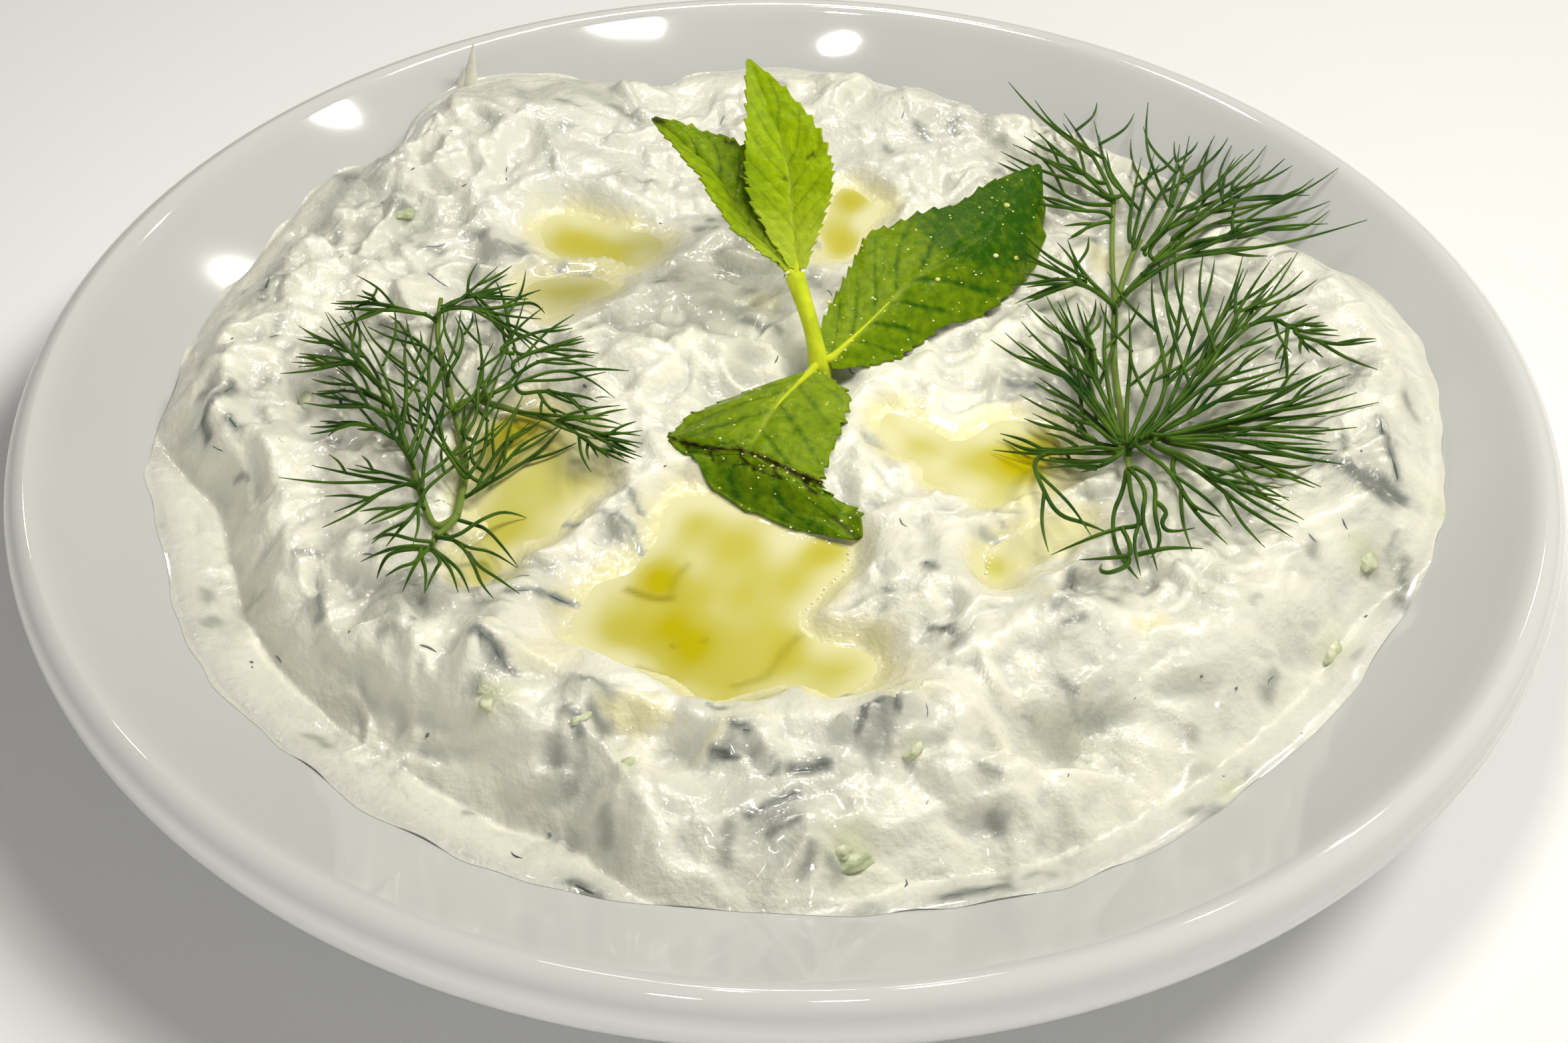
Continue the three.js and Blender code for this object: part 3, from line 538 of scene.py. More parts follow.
# folds that stand out: path in pixels, half width and height in mm, steepness of the far side
handFolds = [
    ([(863, 1076), (886, 1027), (939, 1013), (993, 1022), (1046, 1062)], 1.7, 2.2, 0.8),
    ([(1071, 1129), (1100, 1083)], 1.8, 1.6, 0.6),
    ([(1100, 1083), (1127, 1098), (1153, 1134)], 2.0, 1.9, 0.5),
    ([(1153, 1040), (1176, 1027), (1225, 1062), (1270, 1089)], 2.4, 1.7, 0.4),
    ([(1290, 1099), (1303, 1065), (1328, 1050), (1349, 1061), (1352, 1090)], 2.3, 2.3, 0.8),
    ([(1439, 998), (1497, 978), (1542, 949), (1564, 934)], 3.2, 1.7, 0.28),
    ([(1662, 956), (1707, 965), (1752, 958), (1796, 967)], 3.4, 1.5, 0.28),
    ([(1721, 1025), (1774, 1012), (1819, 1007), (1863, 994)], 4.2, 1.7, 0.4),
    ([(1573, 1061), (1618, 1059), (1671, 1047)], 3.2, 1.3, 0.35),
    ([(1680, 1190), (1600, 1172), (1529, 1146), (1453, 1146)], 4.6, 2.0, 0.4),
    ([(426, 630), (422, 688), (431, 755), (440, 822)], 3.2, 1.4, 0.6),
    ([(444, 824), (480, 835), (507, 849), (560, 860)], 2.8, 1.7, 0.28),
    ([(908, 741), (824, 808), (757, 822)], 3.2, 1.3, 0.5),
    ([(1265, 857), (1222, 901), (1199, 924), (1206, 954), (1242, 970), (1308, 980)], 3.4, 1.5, 0.28),
    ([(1033, 1041), (992, 1015), (926, 995), (859, 964)], 3.0, 1.7, 0.35),
    ([(700, 1010), (716, 944), (742, 962)], 1.8, 1.7, 0.6),
    ([(833, 390), (880, 405), (934, 420), (1000, 395)], 2.6, 1.3, 0.6),
    ([(866, 462), (908, 455), (960, 442), (1020, 430), (1060, 470)], 2.6, 1.2, 0.5),
    ([(1274, 136), (1315, 119), (1362, 116), (1415, 130), (1444, 160)], 3.2, 1.4, 0.5),
    ([(603, 252), (629, 212), (659, 249)], 3.0, 1.4, 0.5), ([(780, 1187), (841, 1176)], 1.6, 0.8, 0.4),
    ([(486, 892), (499, 959), (579, 1017), (646, 1052), (696, 1066), (740, 1070)], 3.4, 1.6, 0.4),
    ([(1938, 811), (1991, 786), (2061, 751)], 3.0, 1.2, 0.4),
    ([(2054, 1000), (2075, 969), (2110, 930)], 2.2, 1.2, 0.4),
    ([(1340, 690), (1372, 700), (1392, 735)], 2.6, 1.4, 0.35),
    ([(1487, 772), (1530, 765), (1600, 742)], 2.4, 1.3, 0.4),
    ([(1290, 560), (1330, 600), (1345, 660)], 3.4, 1.3, 0.4),
    ([(1080, 545), (1040, 520), (980, 530)], 3.0, 1.2, 0.5), ([(560, 700), (640, 690)], 3, 1.0, 0.5),
    ([(1400, 800), (1450, 860), (1460, 930)], 3.4, 1.2, 0.4),
]
handKnobs = [          # pixel, radius, height in mm
    ((939, 1165), 3.2, 1.7), ((997, 1179), 3.0, 1.6), ((1618, 945), 3.7, 2.6), ((1600, 1016), 3.0, 1.0),
    ((690, 804), 2.6, 2.2), ((1112, 1108), 2.6, 1.6), ((1340, 1085), 3.0, 1.4), ((890, 1030), 1.8, 1.2),
    ((1000, 560), 4.0, 1.4), ((930, 620), 4.0, 1.2), ((1330, 800), 4.2, 1.2), ((1400, 880), 3.6, 1.3),
    ((640, 940), 3.6, 1.3), ((560, 930), 3.2, 1.1), ((1960, 880), 4.0, 1.2), ((1880, 900), 4.2, 1.1),
    ((1560, 1110), 8.0, -2.4), ((1690, 1150), 8.0, -2.2), ((1180, 1200), 6.0, -1.6),
    ((640, 1010), 6.0, -1.2), ((955, 1062), 2.8, -1.2), ((2002, 967), 2.2, 0.8)]


def heapHeight(x, y):
    radius = np.hypot(x, y)
    ringRise = dip["ringHeight"] - dip["middleHeight"]
    heap = dip["middleHeight"] + ringRise * bell(radius - dip["ringRadius"], dip["ringHalf"])
    for path, half, height in spoonStrokes:
        heap = heap + height * bell(pathDistance(x, y, path)[0], half)
    for lumpX, lumpY, lumpRadius, height in dipLumps:
        heap = heap + height * bell(spotDistance(x, y, (lumpX, lumpY)), lumpRadius)
    return heap


def markHeight(x, y):
    height = np.zeros(np.shape(x))
    sway = 0.8 * noiseAt(x, y, 4, 2.9)
    for path, half, rise, lean in smallMarks + foldPaths:
        reach = 3 * half + 2
        near = (x > min(p[0] for p in path) - reach) & (x < max(p[0] for p in path) + reach)
        near &= (y > min(p[1] for p in path) - reach) & (y < max(p[1] for p in path) + reach)
        distance, side = pathDistance(x[near], y[near], path)
        distance = np.maximum(distance + sway[near], 0)
        width = np.where(side > 0, half, half * lean)
        height[near] += dip["foldRise"] * rise * bell(distance, width)
    for spot, radius, rise in knobPlaces:
        height += rise * bell(spotDistance(x, y, spot) + sway, radius)
    warpX = x + dip["warp"] * noiseAt(x, y, dip["warpSize"], 0.4)
    warpY = y + dip["warp"] * noiseAt(x, y, dip["warpSize"], 5.4)
    lumpy = np.clip(0.7 + 1.2 * noiseAt(x, y, 19, 7.1), 0.3, 1.3)          # some places are smoother
    crest = np.clip(1 - np.abs(noiseAt(warpX, warpY, dip["ridgeSize"], 11.2)) / 0.3, 0, 1)
    height += dip["swell"] * noiseAt(warpX, warpY, dip["swellSize"], 1.3)
    height += dip["ridge"] * lumpy * crest * crest
    height += lumpy * dip["lump"] * noiseAt(warpX, warpY, dip["lumpSize"], 4.1)
    softened = dip["crest"] * np.tanh(height / dip["crest"])          # no sharp peaks
    height = np.where(height > 0, softened, height)
    height += lumpy * dip["grain"] * noiseAt(warpX, warpY, dip["grainSize"], 8.7)
    height -= lumpy * dip["curd"] * curdGap(warpX, warpY, dip["curdSize"])
    return height - lumpy * dip["fineCurd"] * curdGap(warpY, warpX, dip["fineCurdSize"])


def dipHeight(x, y, detail=True):
    x, y = np.ravel(np.asarray(x, float)), np.ravel(np.asarray(y, float))
    radius, angle = np.hypot(x, y), np.arctan2(y, x)
    smearWidth, thickness = 0.0, dip["edgeThickness"]
    for middle, half, width, thick in edgeSmears:
        share = 1 - smoothstep(awayFrom(angle, middle), dip["smearFade"] * half, half)
        smearWidth = smearWidth + width * share
        thickness = thickness + (thick - dip["edgeThickness"]) * share
    inward = edgeRadius(angle) - radius
    behind = smoothstep(np.sin(angle), 0.2, 0.7) * (1 - smoothstep(inward, 2, 11))
    marks = markHeight(x, y) * (1 - dip["flank"] * behind) if detail else 0.0
    heap = heapHeight(x, y) + marks
    for pool in oilPools.values():
        edge, level = outlineDistance(x, y, pool["shape"]), pool["level"]
        if detail:
            near = edge < 2 * oil["shore"]
            edge[near] += oil["wobble"] * noiseAt(x[near], y[near], oil["wobbleSize"], level)
        limit = level + oil["bank"] + oil["bankSlope"] * np.maximum(edge, 0)
        heap = np.where(edge < oil["bankReach"], heap - 0.7 * np.maximum(heap - limit, 0), heap)
        bank = np.maximum(heap - level, oil["bank"])
        heap = np.where(edge < oil["shore"], level + bank * smoothstep(edge, 0, oil["shore"]), heap)
        heap = heap - oil["depth"] * smoothstep(-edge, 0, 3)
    wall = wallHeight(radius)
    rounding = 1 - np.clip(inward / dip["edgeRound"], 0, 1)
    foot = wall + np.maximum(thickness * (1 - rounding * rounding), dip["leastDepth"])
    foot = foot + 0.45 * marks * smoothstep(inward, 0.5, 6)
    climb = np.clip((inward - smearWidth) / dip["fall"], 0, 1)
    return np.maximum(foot + (heap - foot) * np.sin(climb * math.pi / 2), wall + dip["leastDepth"])


# the heap on a grid, read off between its points
gridReach = 100


def gridReader(step, detail):
    line = np.arange(-gridReach, gridReach + step, step)
    grid = dipHeight(*np.meshgrid(line, line), detail=detail).reshape(len(line), -1)

    def readHeight(x, y):
        x, y = (np.clip((np.asarray(part, float) + gridReach) / step, 0, len(line) - 1.001)
                for part in (x, y))
        column, row = np.floor(x).astype(int), np.floor(y).astype(int)
        partX, partY = x - column, y - row
        near = grid[row, column] * (1 - partX) + grid[row, column + 1] * partX
        far = grid[row + 1, column] * (1 - partX) + grid[row + 1, column + 1] * partX
        return near * (1 - partY) + far * partY

    return readHeight


bareHeight = gridReader(1.0, False)


# where the view through a pixel meets the heap, in mm, with a lift above it
def onDip(pixels, lift=0.0, height=bareHeight):
    rays = pixelRay(pixels)
    level = np.full(len(rays), 20.0)
    for _ in range(14):
        points = viewPoint + rays * ((level - viewPoint[2]) / rays[:, 2])[:, None]
        level = level + 0.6 * (height(points[:, 0], points[:, 1]) + lift - level)
    return viewPoint + rays * ((level - viewPoint[2]) / rays[:, 2])[:, None]


foldPaths = [(onDip(path)[:, :2], half, rise, lean) for path, half, rise, lean in handFolds]
knobPlaces = [(onDip([pixel])[0], radius, rise) for pixel, radius, rise in handKnobs]
skinHeight = gridReader(0.5, True)

# herb stalks under the skin, on the picture: path in pixels, half width in mm, strength
sunkHerbs = [
    ([(393, 451), (411, 409)], 0.7, 0.8), ([(350, 581), (315, 607), (304, 634), (313, 657)], 0.6, 0.8),
    ([(342, 625), (357, 643)], 0.6, 0.8), ([(762, 888), (864, 908)], 0.6, 0.75),
    ([(716, 944), (745, 972), (768, 1010)], 0.6, 0.85), ([(443, 827), (486, 833)], 0.6, 0.5),
    ([(483, 890), (481, 925)], 0.7, 0.6), ([(836, 1140), (860, 1180)], 1.2, 0.5),
    ([(905, 768), (950, 790), (966, 835)], 0.5, 0.7), ([(1071, 1130), (1109, 1137)], 0.5, 1.0),
    ([(1100, 1082), (1127, 1098)], 0.35, 0.8), ([(1194, 1158), (1238, 1151)], 0.9, 0.9),
    ([(1127, 1223), (1194, 1192)], 0.7, 0.85), ([(1158, 1254), (1198, 1230)], 0.6, 0.7),
    ([(1290, 1099), (1303, 1065), (1328, 1050), (1349, 1061)], 0.7, 0.85),
    ([(1320, 1085), (1325, 1110)], 1.6, 0.5), ([(1095, 1238), (1093, 1284)], 0.8, 0.55),
    ([(857, 1326), (899, 1347)], 0.8, 0.85), ([(1420, 1348), (1513, 1331)], 0.8, 0.85),
    ([(1594, 1022), (1614, 1040)], 0.8, 0.7), ([(1400, 946), (1430, 950)], 0.5, 0.9),
    ([(2074, 628), (2092, 688), (2101, 720)], 0.7, 0.75), ([(1604, 935), (1625, 925)], 0.7, 0.7),
    ([(1280, 570), (1230, 590)], 0.5, 0.5), ([(1515, 574), (1560, 580)], 0.6, 0.7),
    ([(1600, 885), (1614, 870)], 0.8, 0.75), ([(1395, 848), (1402, 852)], 0.8, 0.7),
    ([(1120, 480), (1145, 496), (1170, 495)], 0.7, 0.7), ([(700, 352), (725, 352)], 0.9, 0.6),
    ([(636, 372), (660, 378)], 0.8, 0.6), ([(842, 405), (850, 400)], 0.8, 0.5),
    ([(925, 160), (940, 170), (961, 186)], 1.0, 0.6), ([(510, 345), (500, 365)], 0.8, 0.6),
    ([(1475, 1150), (1500, 1160)], 0.6, 0.7), ([(1380, 190), (1392, 205)], 0.9, 0.7),
    ([(1432, 186), (1442, 180)], 0.9, 0.7), ([(2112, 846), (2106, 863), (2115, 885)], 0.8, 0.7),
    ([(2105, 900), (2107, 912)], 1.0, 0.8), ([(2020, 658), (2022, 674)], 0.6, 0.7),
]
# leaf pieces under the skin: outline in pixels, softness in mm, strength
sunkLeaves = [
    ([(1969, 685), (2026, 688), (2061, 702), (2096, 727), (2120, 749), (2106, 760), (2078, 758),
      (2057, 741)], 0.9, 0.62),
    ([(880, 1062), (892, 1050), (922, 1100), (905, 1112)], 0.8, 0.62),
    ([(1100, 1084), (1150, 1130), (1075, 1132)], 1.0, 0.4),
    ([(1130, 1220), (1190, 1192), (1196, 1232), (1160, 1252)], 1.2, 0.45),
    ([(905, 770), (950, 790), (964, 836), (925, 815)], 1.2, 0.36),
    ([(740, 362), (790, 366), (800, 384), (760, 388)], 1.2, 0.5),
    ([(500, 252), (540, 262), (536, 280), (512, 274)], 1.0, 0.5),
    ([(585, 300), (625, 310), (620, 330), (596, 328)], 1.0, 0.5),
    ([(722, 166), (750, 168), (764, 182), (736, 182)], 1.2, 0.4),
    ([(1300, 1062), (1345, 1060), (1352, 1105), (1305, 1112)], 1.4, 0.4),
    ([(455, 575), (487, 582), (480, 602), (458, 598)], 0.8, 0.25),
    ([(1612, 1072), (1640, 1062), (1662, 1076), (1664, 1100), (1640, 1112), (1614, 1098)], 0.5, 0.34),
    ([(1482, 1222), (1500, 1212), (1514, 1228), (1510, 1256), (1494, 1262), (1482, 1246)], 0.5, 0.42),
]
# greyish places, mixed towards the veiled herb colour: pixel, radius in mm, strength
greyClouds = [((620, 900), 6, 0.26), ((700, 900), 5, 0.22), ((870, 1150), 5, 0.26), ((1150, 1200), 7, 0.24),
              ((1240, 1170), 5, 0.2), ((520, 1070), 5, 0.16), ((470, 910), 4, 0.2), ((1330, 1090), 4, 0.22),
              ((1640, 1060), 5, 0.2), ((1700, 330), 5, 0.2), ((640, 330), 6, 0.18), ((740, 375), 5, 0.25),
              ((1110, 470), 4, 0.22), ((2060, 720), 5, 0.25), ((2100, 870), 5, 0.2),
              ((420, 640), 6, 0.12), ((540, 300), 5, 0.22), ((1420, 170), 5, 0.2), ((900, 140), 6, 0.2),
              ((1560, 880), 5, 0.18), ((1400, 850), 4, 0.16), ((1290, 1000), 4, 0.14), ((830, 900), 4, 0.2),
              ((1060, 600), 4, 0.16), ((760, 610), 4, 0.14)]
# places painted darker as shade, through the hollow mask: pixel, radius in mm, strength
paintedShadePlaces = [((640, 260), 20, 0.75), ((840, 230), 24, 1.0), ((1010, 210), 20, 0.85), ((1400, 210), 18, 0.8),
              ((1900, 420), 14, 0.35), ((1150, 1300), 18, 0.3), ((1900, 1120), 16, 0.25)]
# cucumber under the skin: pixel, radius in mm, strength
sunkCucumber = [((745, 1047), 2.2, 0.75), ((735, 1030), 1.6, 0.5), ((1278, 1280), 2.8, 0.9),
                ((1262, 1265), 1.6, 0.7), ((1854, 1186), 1.8, 0.8), ((1842, 1196), 1.3, 0.7),
                ((941, 1160), 1.4, 0.5), ((2052, 832), 2.2, 0.8), ((2169, 769), 2.0, 0.5),
                ((2003, 974), 2.2, 0.35), ((1372, 1120), 1.6, 0.45), ((1500, 868), 2.0, 0.5),
                ((523, 266), 1.6, 0.6), ((603, 315), 1.6, 0.6), ((960, 880), 1.2, 0.3)]
# thin oil on the skin: outline in pixels, softness in mm, strength
oilFilms = [([(895, 1060), (905, 1040), (990, 1045), (1010, 1075), (960, 1090), (915, 1082)], 1.4, 0.75),
            ([(768, 964), (859, 964), (885, 985), (830, 1008), (775, 1000)], 2.0, 0.4),
            ([(1700, 945), (1745, 938), (1752, 955), (1715, 962)], 1.0, 0.8),
            ([(1640, 370), (1685, 372), (1680, 400), (1645, 398)], 1.4, 0.7),
            ([(1300, 985), (1370, 985), (1400, 1040), (1330, 1060)], 2.4, 0.5),
            ([(1340, 990), (1352, 1000), (1352, 1050), (1340, 1050)], 1.4, 0.6),
            ([(1070, 1110), (1110, 1080), (1100, 1110), (1040, 1140)], 1.2, 0.5),
            ([(1120, 430), (1170, 440), (1160, 470), (1130, 460)], 1.6, 0.5)]


smudges = {"seed": 23, "count": 210, "reach": 82, "bend": 0.9, "step": (0.3, 1.8), "steps": 2,
           "half": (0.25, 1.0), "strength": (0.12, 0.58)}


def drawSmudges():          # seeded herb below the skin: path in mm, half width, strength
    draw = random.Random(smudges["seed"])
    drawn = []
    for _ in range(smudges["count"]):
        radius, angle = smudges["reach"] * math.sqrt(draw.random()), draw.uniform(0, 2 * math.pi)
        heading, bend = draw.uniform(0, 2 * math.pi), draw.uniform(-smudges["bend"], smudges["bend"])
        path = bentPath(onDisc(radius, angle), heading, bend, draw.uniform(*smudges["step"]),
                        smudges["steps"])
        drawn.append((path, draw.uniform(*smudges["half"]), draw.uniform(*smudges["strength"])))
    return drawn


def outerShare(distance, soft):          # full inside an outline, and fading round it
    return 1 - smoothstep(distance, -soft, soft)


def dipMasks(x, y):
    herb, green, stain = np.zeros(len(x)), np.zeros(len(x)), np.zeros(len(x))
    ragged = 0.45 * noiseAt(x, y, 1.3, 5.5)
    drift = 2.2 * noiseAt(x, y, 5, 3.7)
    paths = [(onDip(path, 0.0, skinHeight)[:, :2], half, 0.9 * strength)
             for path, half, strength in sunkHerbs]
    for path, half, strength in paths + drawSmudges():
        distance = np.maximum(pathDistance(x, y, path)[0] + ragged, 0)
        haze = 0.26 * strength * bell(distance + drift, 2.2)
        herb = np.maximum(herb, np.maximum(strength * bell(distance, 1.2 * half), haze))
    for outline, soft, strength in sunkLeaves:
        distance = outlineDistance(x, y, onDip(outline, 0.0, skinHeight)[:, :2]) + ragged
        herb = np.maximum(herb, 1.2 * strength * outerShare(distance, soft))
    for pixel, radius, strength in greyClouds:
        distance = spotDistance(x, y, onDip([pixel])[0]) + drift
        herb = np.maximum(herb, strength * bell(distance, radius))
    for pixel, radius, strength in sunkCucumber:
        distance = spotDistance(x, y, onDip([pixel], 0.0, skinHeight)[0]) + ragged
        green = np.maximum(green, 0.6 * strength * bell(distance, radius))
    for pool in oilPools.values():
        edge = outlineDistance(x, y, pool["shape"]) + 0.7 * drift
        stain = np.maximum(stain, 1 - smoothstep(edge, 0.4, 4.4))
    for outline, soft, strength in oilFilms:
        distance = outlineDistance(x, y, onDip(outline)[:, :2]) + ragged
        stain = np.maximum(stain, strength * outerShare(distance, soft))
    return herb, green, stain


def addDip():
    bm = roundGrid(dip["cells"])
    rim = [edge for edge in bm.edges if edge.is_boundary]
    for edge in rim:
        edge.smooth = False
    under, loops = rim, []
    for _ in dip["underShares"]:
        edges = partsOf(under, bmesh.types.BMEdge)
        under = bmesh.ops.extrude_edge_only(bm, edges=edges)["geom"]
        loops.append(partsOf(under, bmesh.types.BMVert))
    bmesh.ops.holes_fill(bm, edges=partsOf(under, bmesh.types.BMEdge))
    bm.verts.index_update()
    topCount = min(vert.index for vert in loops[0])
    for share, loop in zip(dip["underShares"], loops):
        for vert in loop:
            vert.co.xy = vert.co.xy * share
    mesh = meshFrom(bm, "dip_surface")
    points = readPoints(mesh) * mm
    angle = np.arctan2(points[:, 1], points[:, 0])
    spread = edgeRadius(angle)
    for size, seed in ((14, 6.2), (6, 2.2)):
        spread = spread + dip["ragged"] * noiseAt(80 * np.cos(angle), 80 * np.sin(angle), size, seed)
    x, y = points[:, 0] * spread, points[:, 1] * spread
    z = wallHeight(np.hypot(x, y)) + dip["gap"]
    z[:topCount] = dipHeight(x[:topCount], y[:topCount])
    writePoints(mesh, np.stack([x, y, z], 1))
    # painted shade: the skin darker where it lies lower than the ring of points around it
    around = sum(skinHeight(x + 1.7 * math.cos(turn), y + 1.7 * math.sin(turn)) for turn in range(6)) / 6
    hollowShade = smoothstep(around - z, 0.0, 0.6)
    # painted shade at the listed places
    for pixel, radius, strength in paintedShadePlaces:
        hollowShade = np.maximum(hollowShade, strength * bell(spotDistance(x, y, onDip([pixel])[0]), radius))
    thin = 1 - smoothstep(z - wallHeight(np.hypot(x, y)), 0.2, 2.6)
    herb, green, stain = dipMasks(x, y)
    # fourth channel: painted shade above a half, the thin edge below it
    paint(mesh, "mixedInAndShade", herb, green, stain, 0.5 + 0.5 * (hollowShade - thin))
    skin, tree, shader = newMaterial("thick yoghurt", Subsurface_Weight=0.12, Subsurface_Scale=1.2 * mm,
                                     Subsurface_Radius=(1.0, 0.85, 0.6), Coat_Weight=0.6, Coat_Roughness=0.05)
    herbMask, greenMask, stainMask, shadeAndThinMask = paintMasks(tree, "mixedInAndShade")
    colour = mixColour(tree, addCloud(tree, dip["toneSize"]), dip["colour"], dip["shade"])
    # painted shade in the hollows, then the thin edge in the dish's grey
    colour = mixColour(tree, stretch(tree, shadeAndThinMask, 0.5, 1.0, dip["hollowShadeShare"]), colour, dip["hollowShade"])
    colour = mixColour(tree, stretch(tree, shadeAndThinMask, 0.5, 0.0, dip["thinShare"]), colour, dip["thin"])
    colour = mixColour(tree, calculate(tree, "MULTIPLY", stainMask, dip["oiledShare"]), colour, dip["oiled"])
    colour = mixColour(tree, greenMask, colour, dip["green"])
    finishLook(tree, shader, threeTones(tree, herbMask, colour, dip["veiled"], dip["herb"]), *dip["wet"])
    makePiece("dip_surface", mesh, skin, "dip", "haydari")
    print("dip spread:", len(mesh.polygons), "faces")
    return skin


dipSkin = addDip()


def oilLook():
    look, tree, shader = newMaterial("olive oil", Specular_IOR_Level=0.16, Specular_Tint=(1.0, 0.95, 0.55, 1))
    depth, crease, _, _ = paintMasks(tree, "oilDepth")
    colour = threeTones(tree, depth, oil["shallow"], oil["mid"], oil["deep"])
    # the creases painted darker, as shade
    finishLook(tree, shader, mixColour(tree, crease, colour, oil["crease"]), *oil["wet"])
    return look


def outlineReach(outline, middle, angles):          # how far the outline lies from its middle, each way
    ring = np.radians(np.arange(360))
    reach = np.zeros(len(ring))
    wayX, wayY = np.cos(ring), np.sin(ring)
    loop = list(outline) + [outline[0]]
    for start, end in zip(loop, loop[1:]):
        run, off = np.array(end) - start, np.array(start) - middle
        cross = wayX * run[1] - wayY * run[0]
        cross = np.where(np.abs(cross) < 1e-9, 1e-9, cross)
        along = (off[0] * run[1] - off[1] * run[0]) / cross
        place = (off[0] * wayY - off[1] * wayX) / cross
        hit = (along > 0) & (place >= 0) & (place <= 1)
        reach = np.where(hit, np.maximum(reach, along), reach)
    spread = range(-oil["blend"], oil["blend"] + 1)
    widest = np.max([np.roll(reach, turn) for turn in spread], axis=0)
    smoothed = np.mean([np.roll(widest, turn) for turn in spread], axis=0)
    return np.interp(angles, ring, smoothed, period=2 * math.pi)


def addPools():
    look = oilLook()
    for name, pool in oilPools.items():
        shape, level = pool["shape"], pool["level"]
        middle = (shape.min(axis=0) + shape.max(axis=0)) / 2
        bm = roundGrid(oil["cells"])
        count = len(bm.verts)
        bmesh.ops.extrude_face_region(bm, geom=bm.faces[:])
        mesh = meshFrom(bm, name + "_pool")
        flat = readPoints(mesh) * mm
        angle = np.arctan2(flat[:, 1], flat[:, 0])
        spread = outlineReach(shape, middle, angle) + oil["margin"]
        x, y = middle[0] + flat[:, 0] * spread, middle[1] + flat[:, 1] * spread
        edge = outlineDistance(x, y, shape)
        inner = smoothstep(-edge, 0, 4)
        swell = oil["swell"] * (noiseAt(x, y, 10, 3.1) + 0.25 * noiseAt(x, y, 4.5, 6.2))
        crease, deep = np.zeros(len(x)), 0.04 + 0.36 * smoothstep(-edge, -0.6, 5)
        deep = deep + 0.32 * noiseAt(x, y, 7, 1.9)
        # drawn-out streaks
        deep = deep + 0.18 * noiseAt(0.9 * x - 0.4 * y, 0.2 * x + 0.45 * y, 4, 4.6)
        for path, half, strength in oilCreases:
            distance = pathDistance(x, y, smoothCurve(onLevel(path, level), np.linspace(0, 1, 12)))[0]
            crease = np.maximum(crease, strength * bell(distance, half))
        for pixel, half, strength in oilDeeps:
            deep = deep + strength * bell(spotDistance(x, y, onLevel([pixel], level)[0]), half)
        z = level + swell * inner - oil["creaseDepth"] * crease
        z = z - oil["edgeDrop"] * smoothstep(edge, 0.3, oil["margin"])
        under = skinHeight(x[:count], y[:count]) - oil["floorGap"]
        z[:count] = np.minimum(under, level - oil["leastDepth"])
        writePoints(mesh, np.stack([x, y, z], 1))
        if mesh.polygons[0].normal.z > 0:
            mesh.flip_normals()
        paint(mesh, "oilDepth", deep * pool.get("strength", 1.0), crease)
        makePiece(name + "_pool", mesh, look, "oil", name)
    print("oil poured:", len(oilPools), "pools")


addPools()


# mint: stem and leaves in mm; leaf halves are left and right of the midrib
mint = {"thickness": 0.34, "rows": 200, "columns": 72, "clearance": 0.5, "teeth": 19, "toothReach": 0.6,
        "sideVeins": 7.5, "veinSlant": 1.7, "quilt": 0.22, "ripples": 5, "pucker": 0.25,
        "lime": (0.30, 0.42, 0.004), "deep": (0.024, 0.088, 0.004), "vein": (0.46, 0.54, 0.06),
        "bruise": (0.015, 0.009, 0.004), "stemColour": (0.62, 0.68, 0.03), "stemShade": (0.42, 0.52, 0.02),
        "veinShare": 0.75, "veinHalf": 0.42, "mottle": 0.3, "mottleSize": 1.4, "wet": (1.0, 0.06, 0.22, 0.3)}
mintStem = {"path": [(4.6, 5.2, 12.5), (4.2, 5.8, 19), (3.2, 8.5, 23.5), (0.7, 14.9, 28)],
            "radii": [1.5, 1.45, 1.1, 1.2], "sides": 4, "toneSize": 2.5, "wet": (0.9, 0.1, 0.25, 0.08),
            "knots": [(0.36, 0.05, 0.35), (0.97, 0.06, 0.25)]}          # share of the length, half, swelling
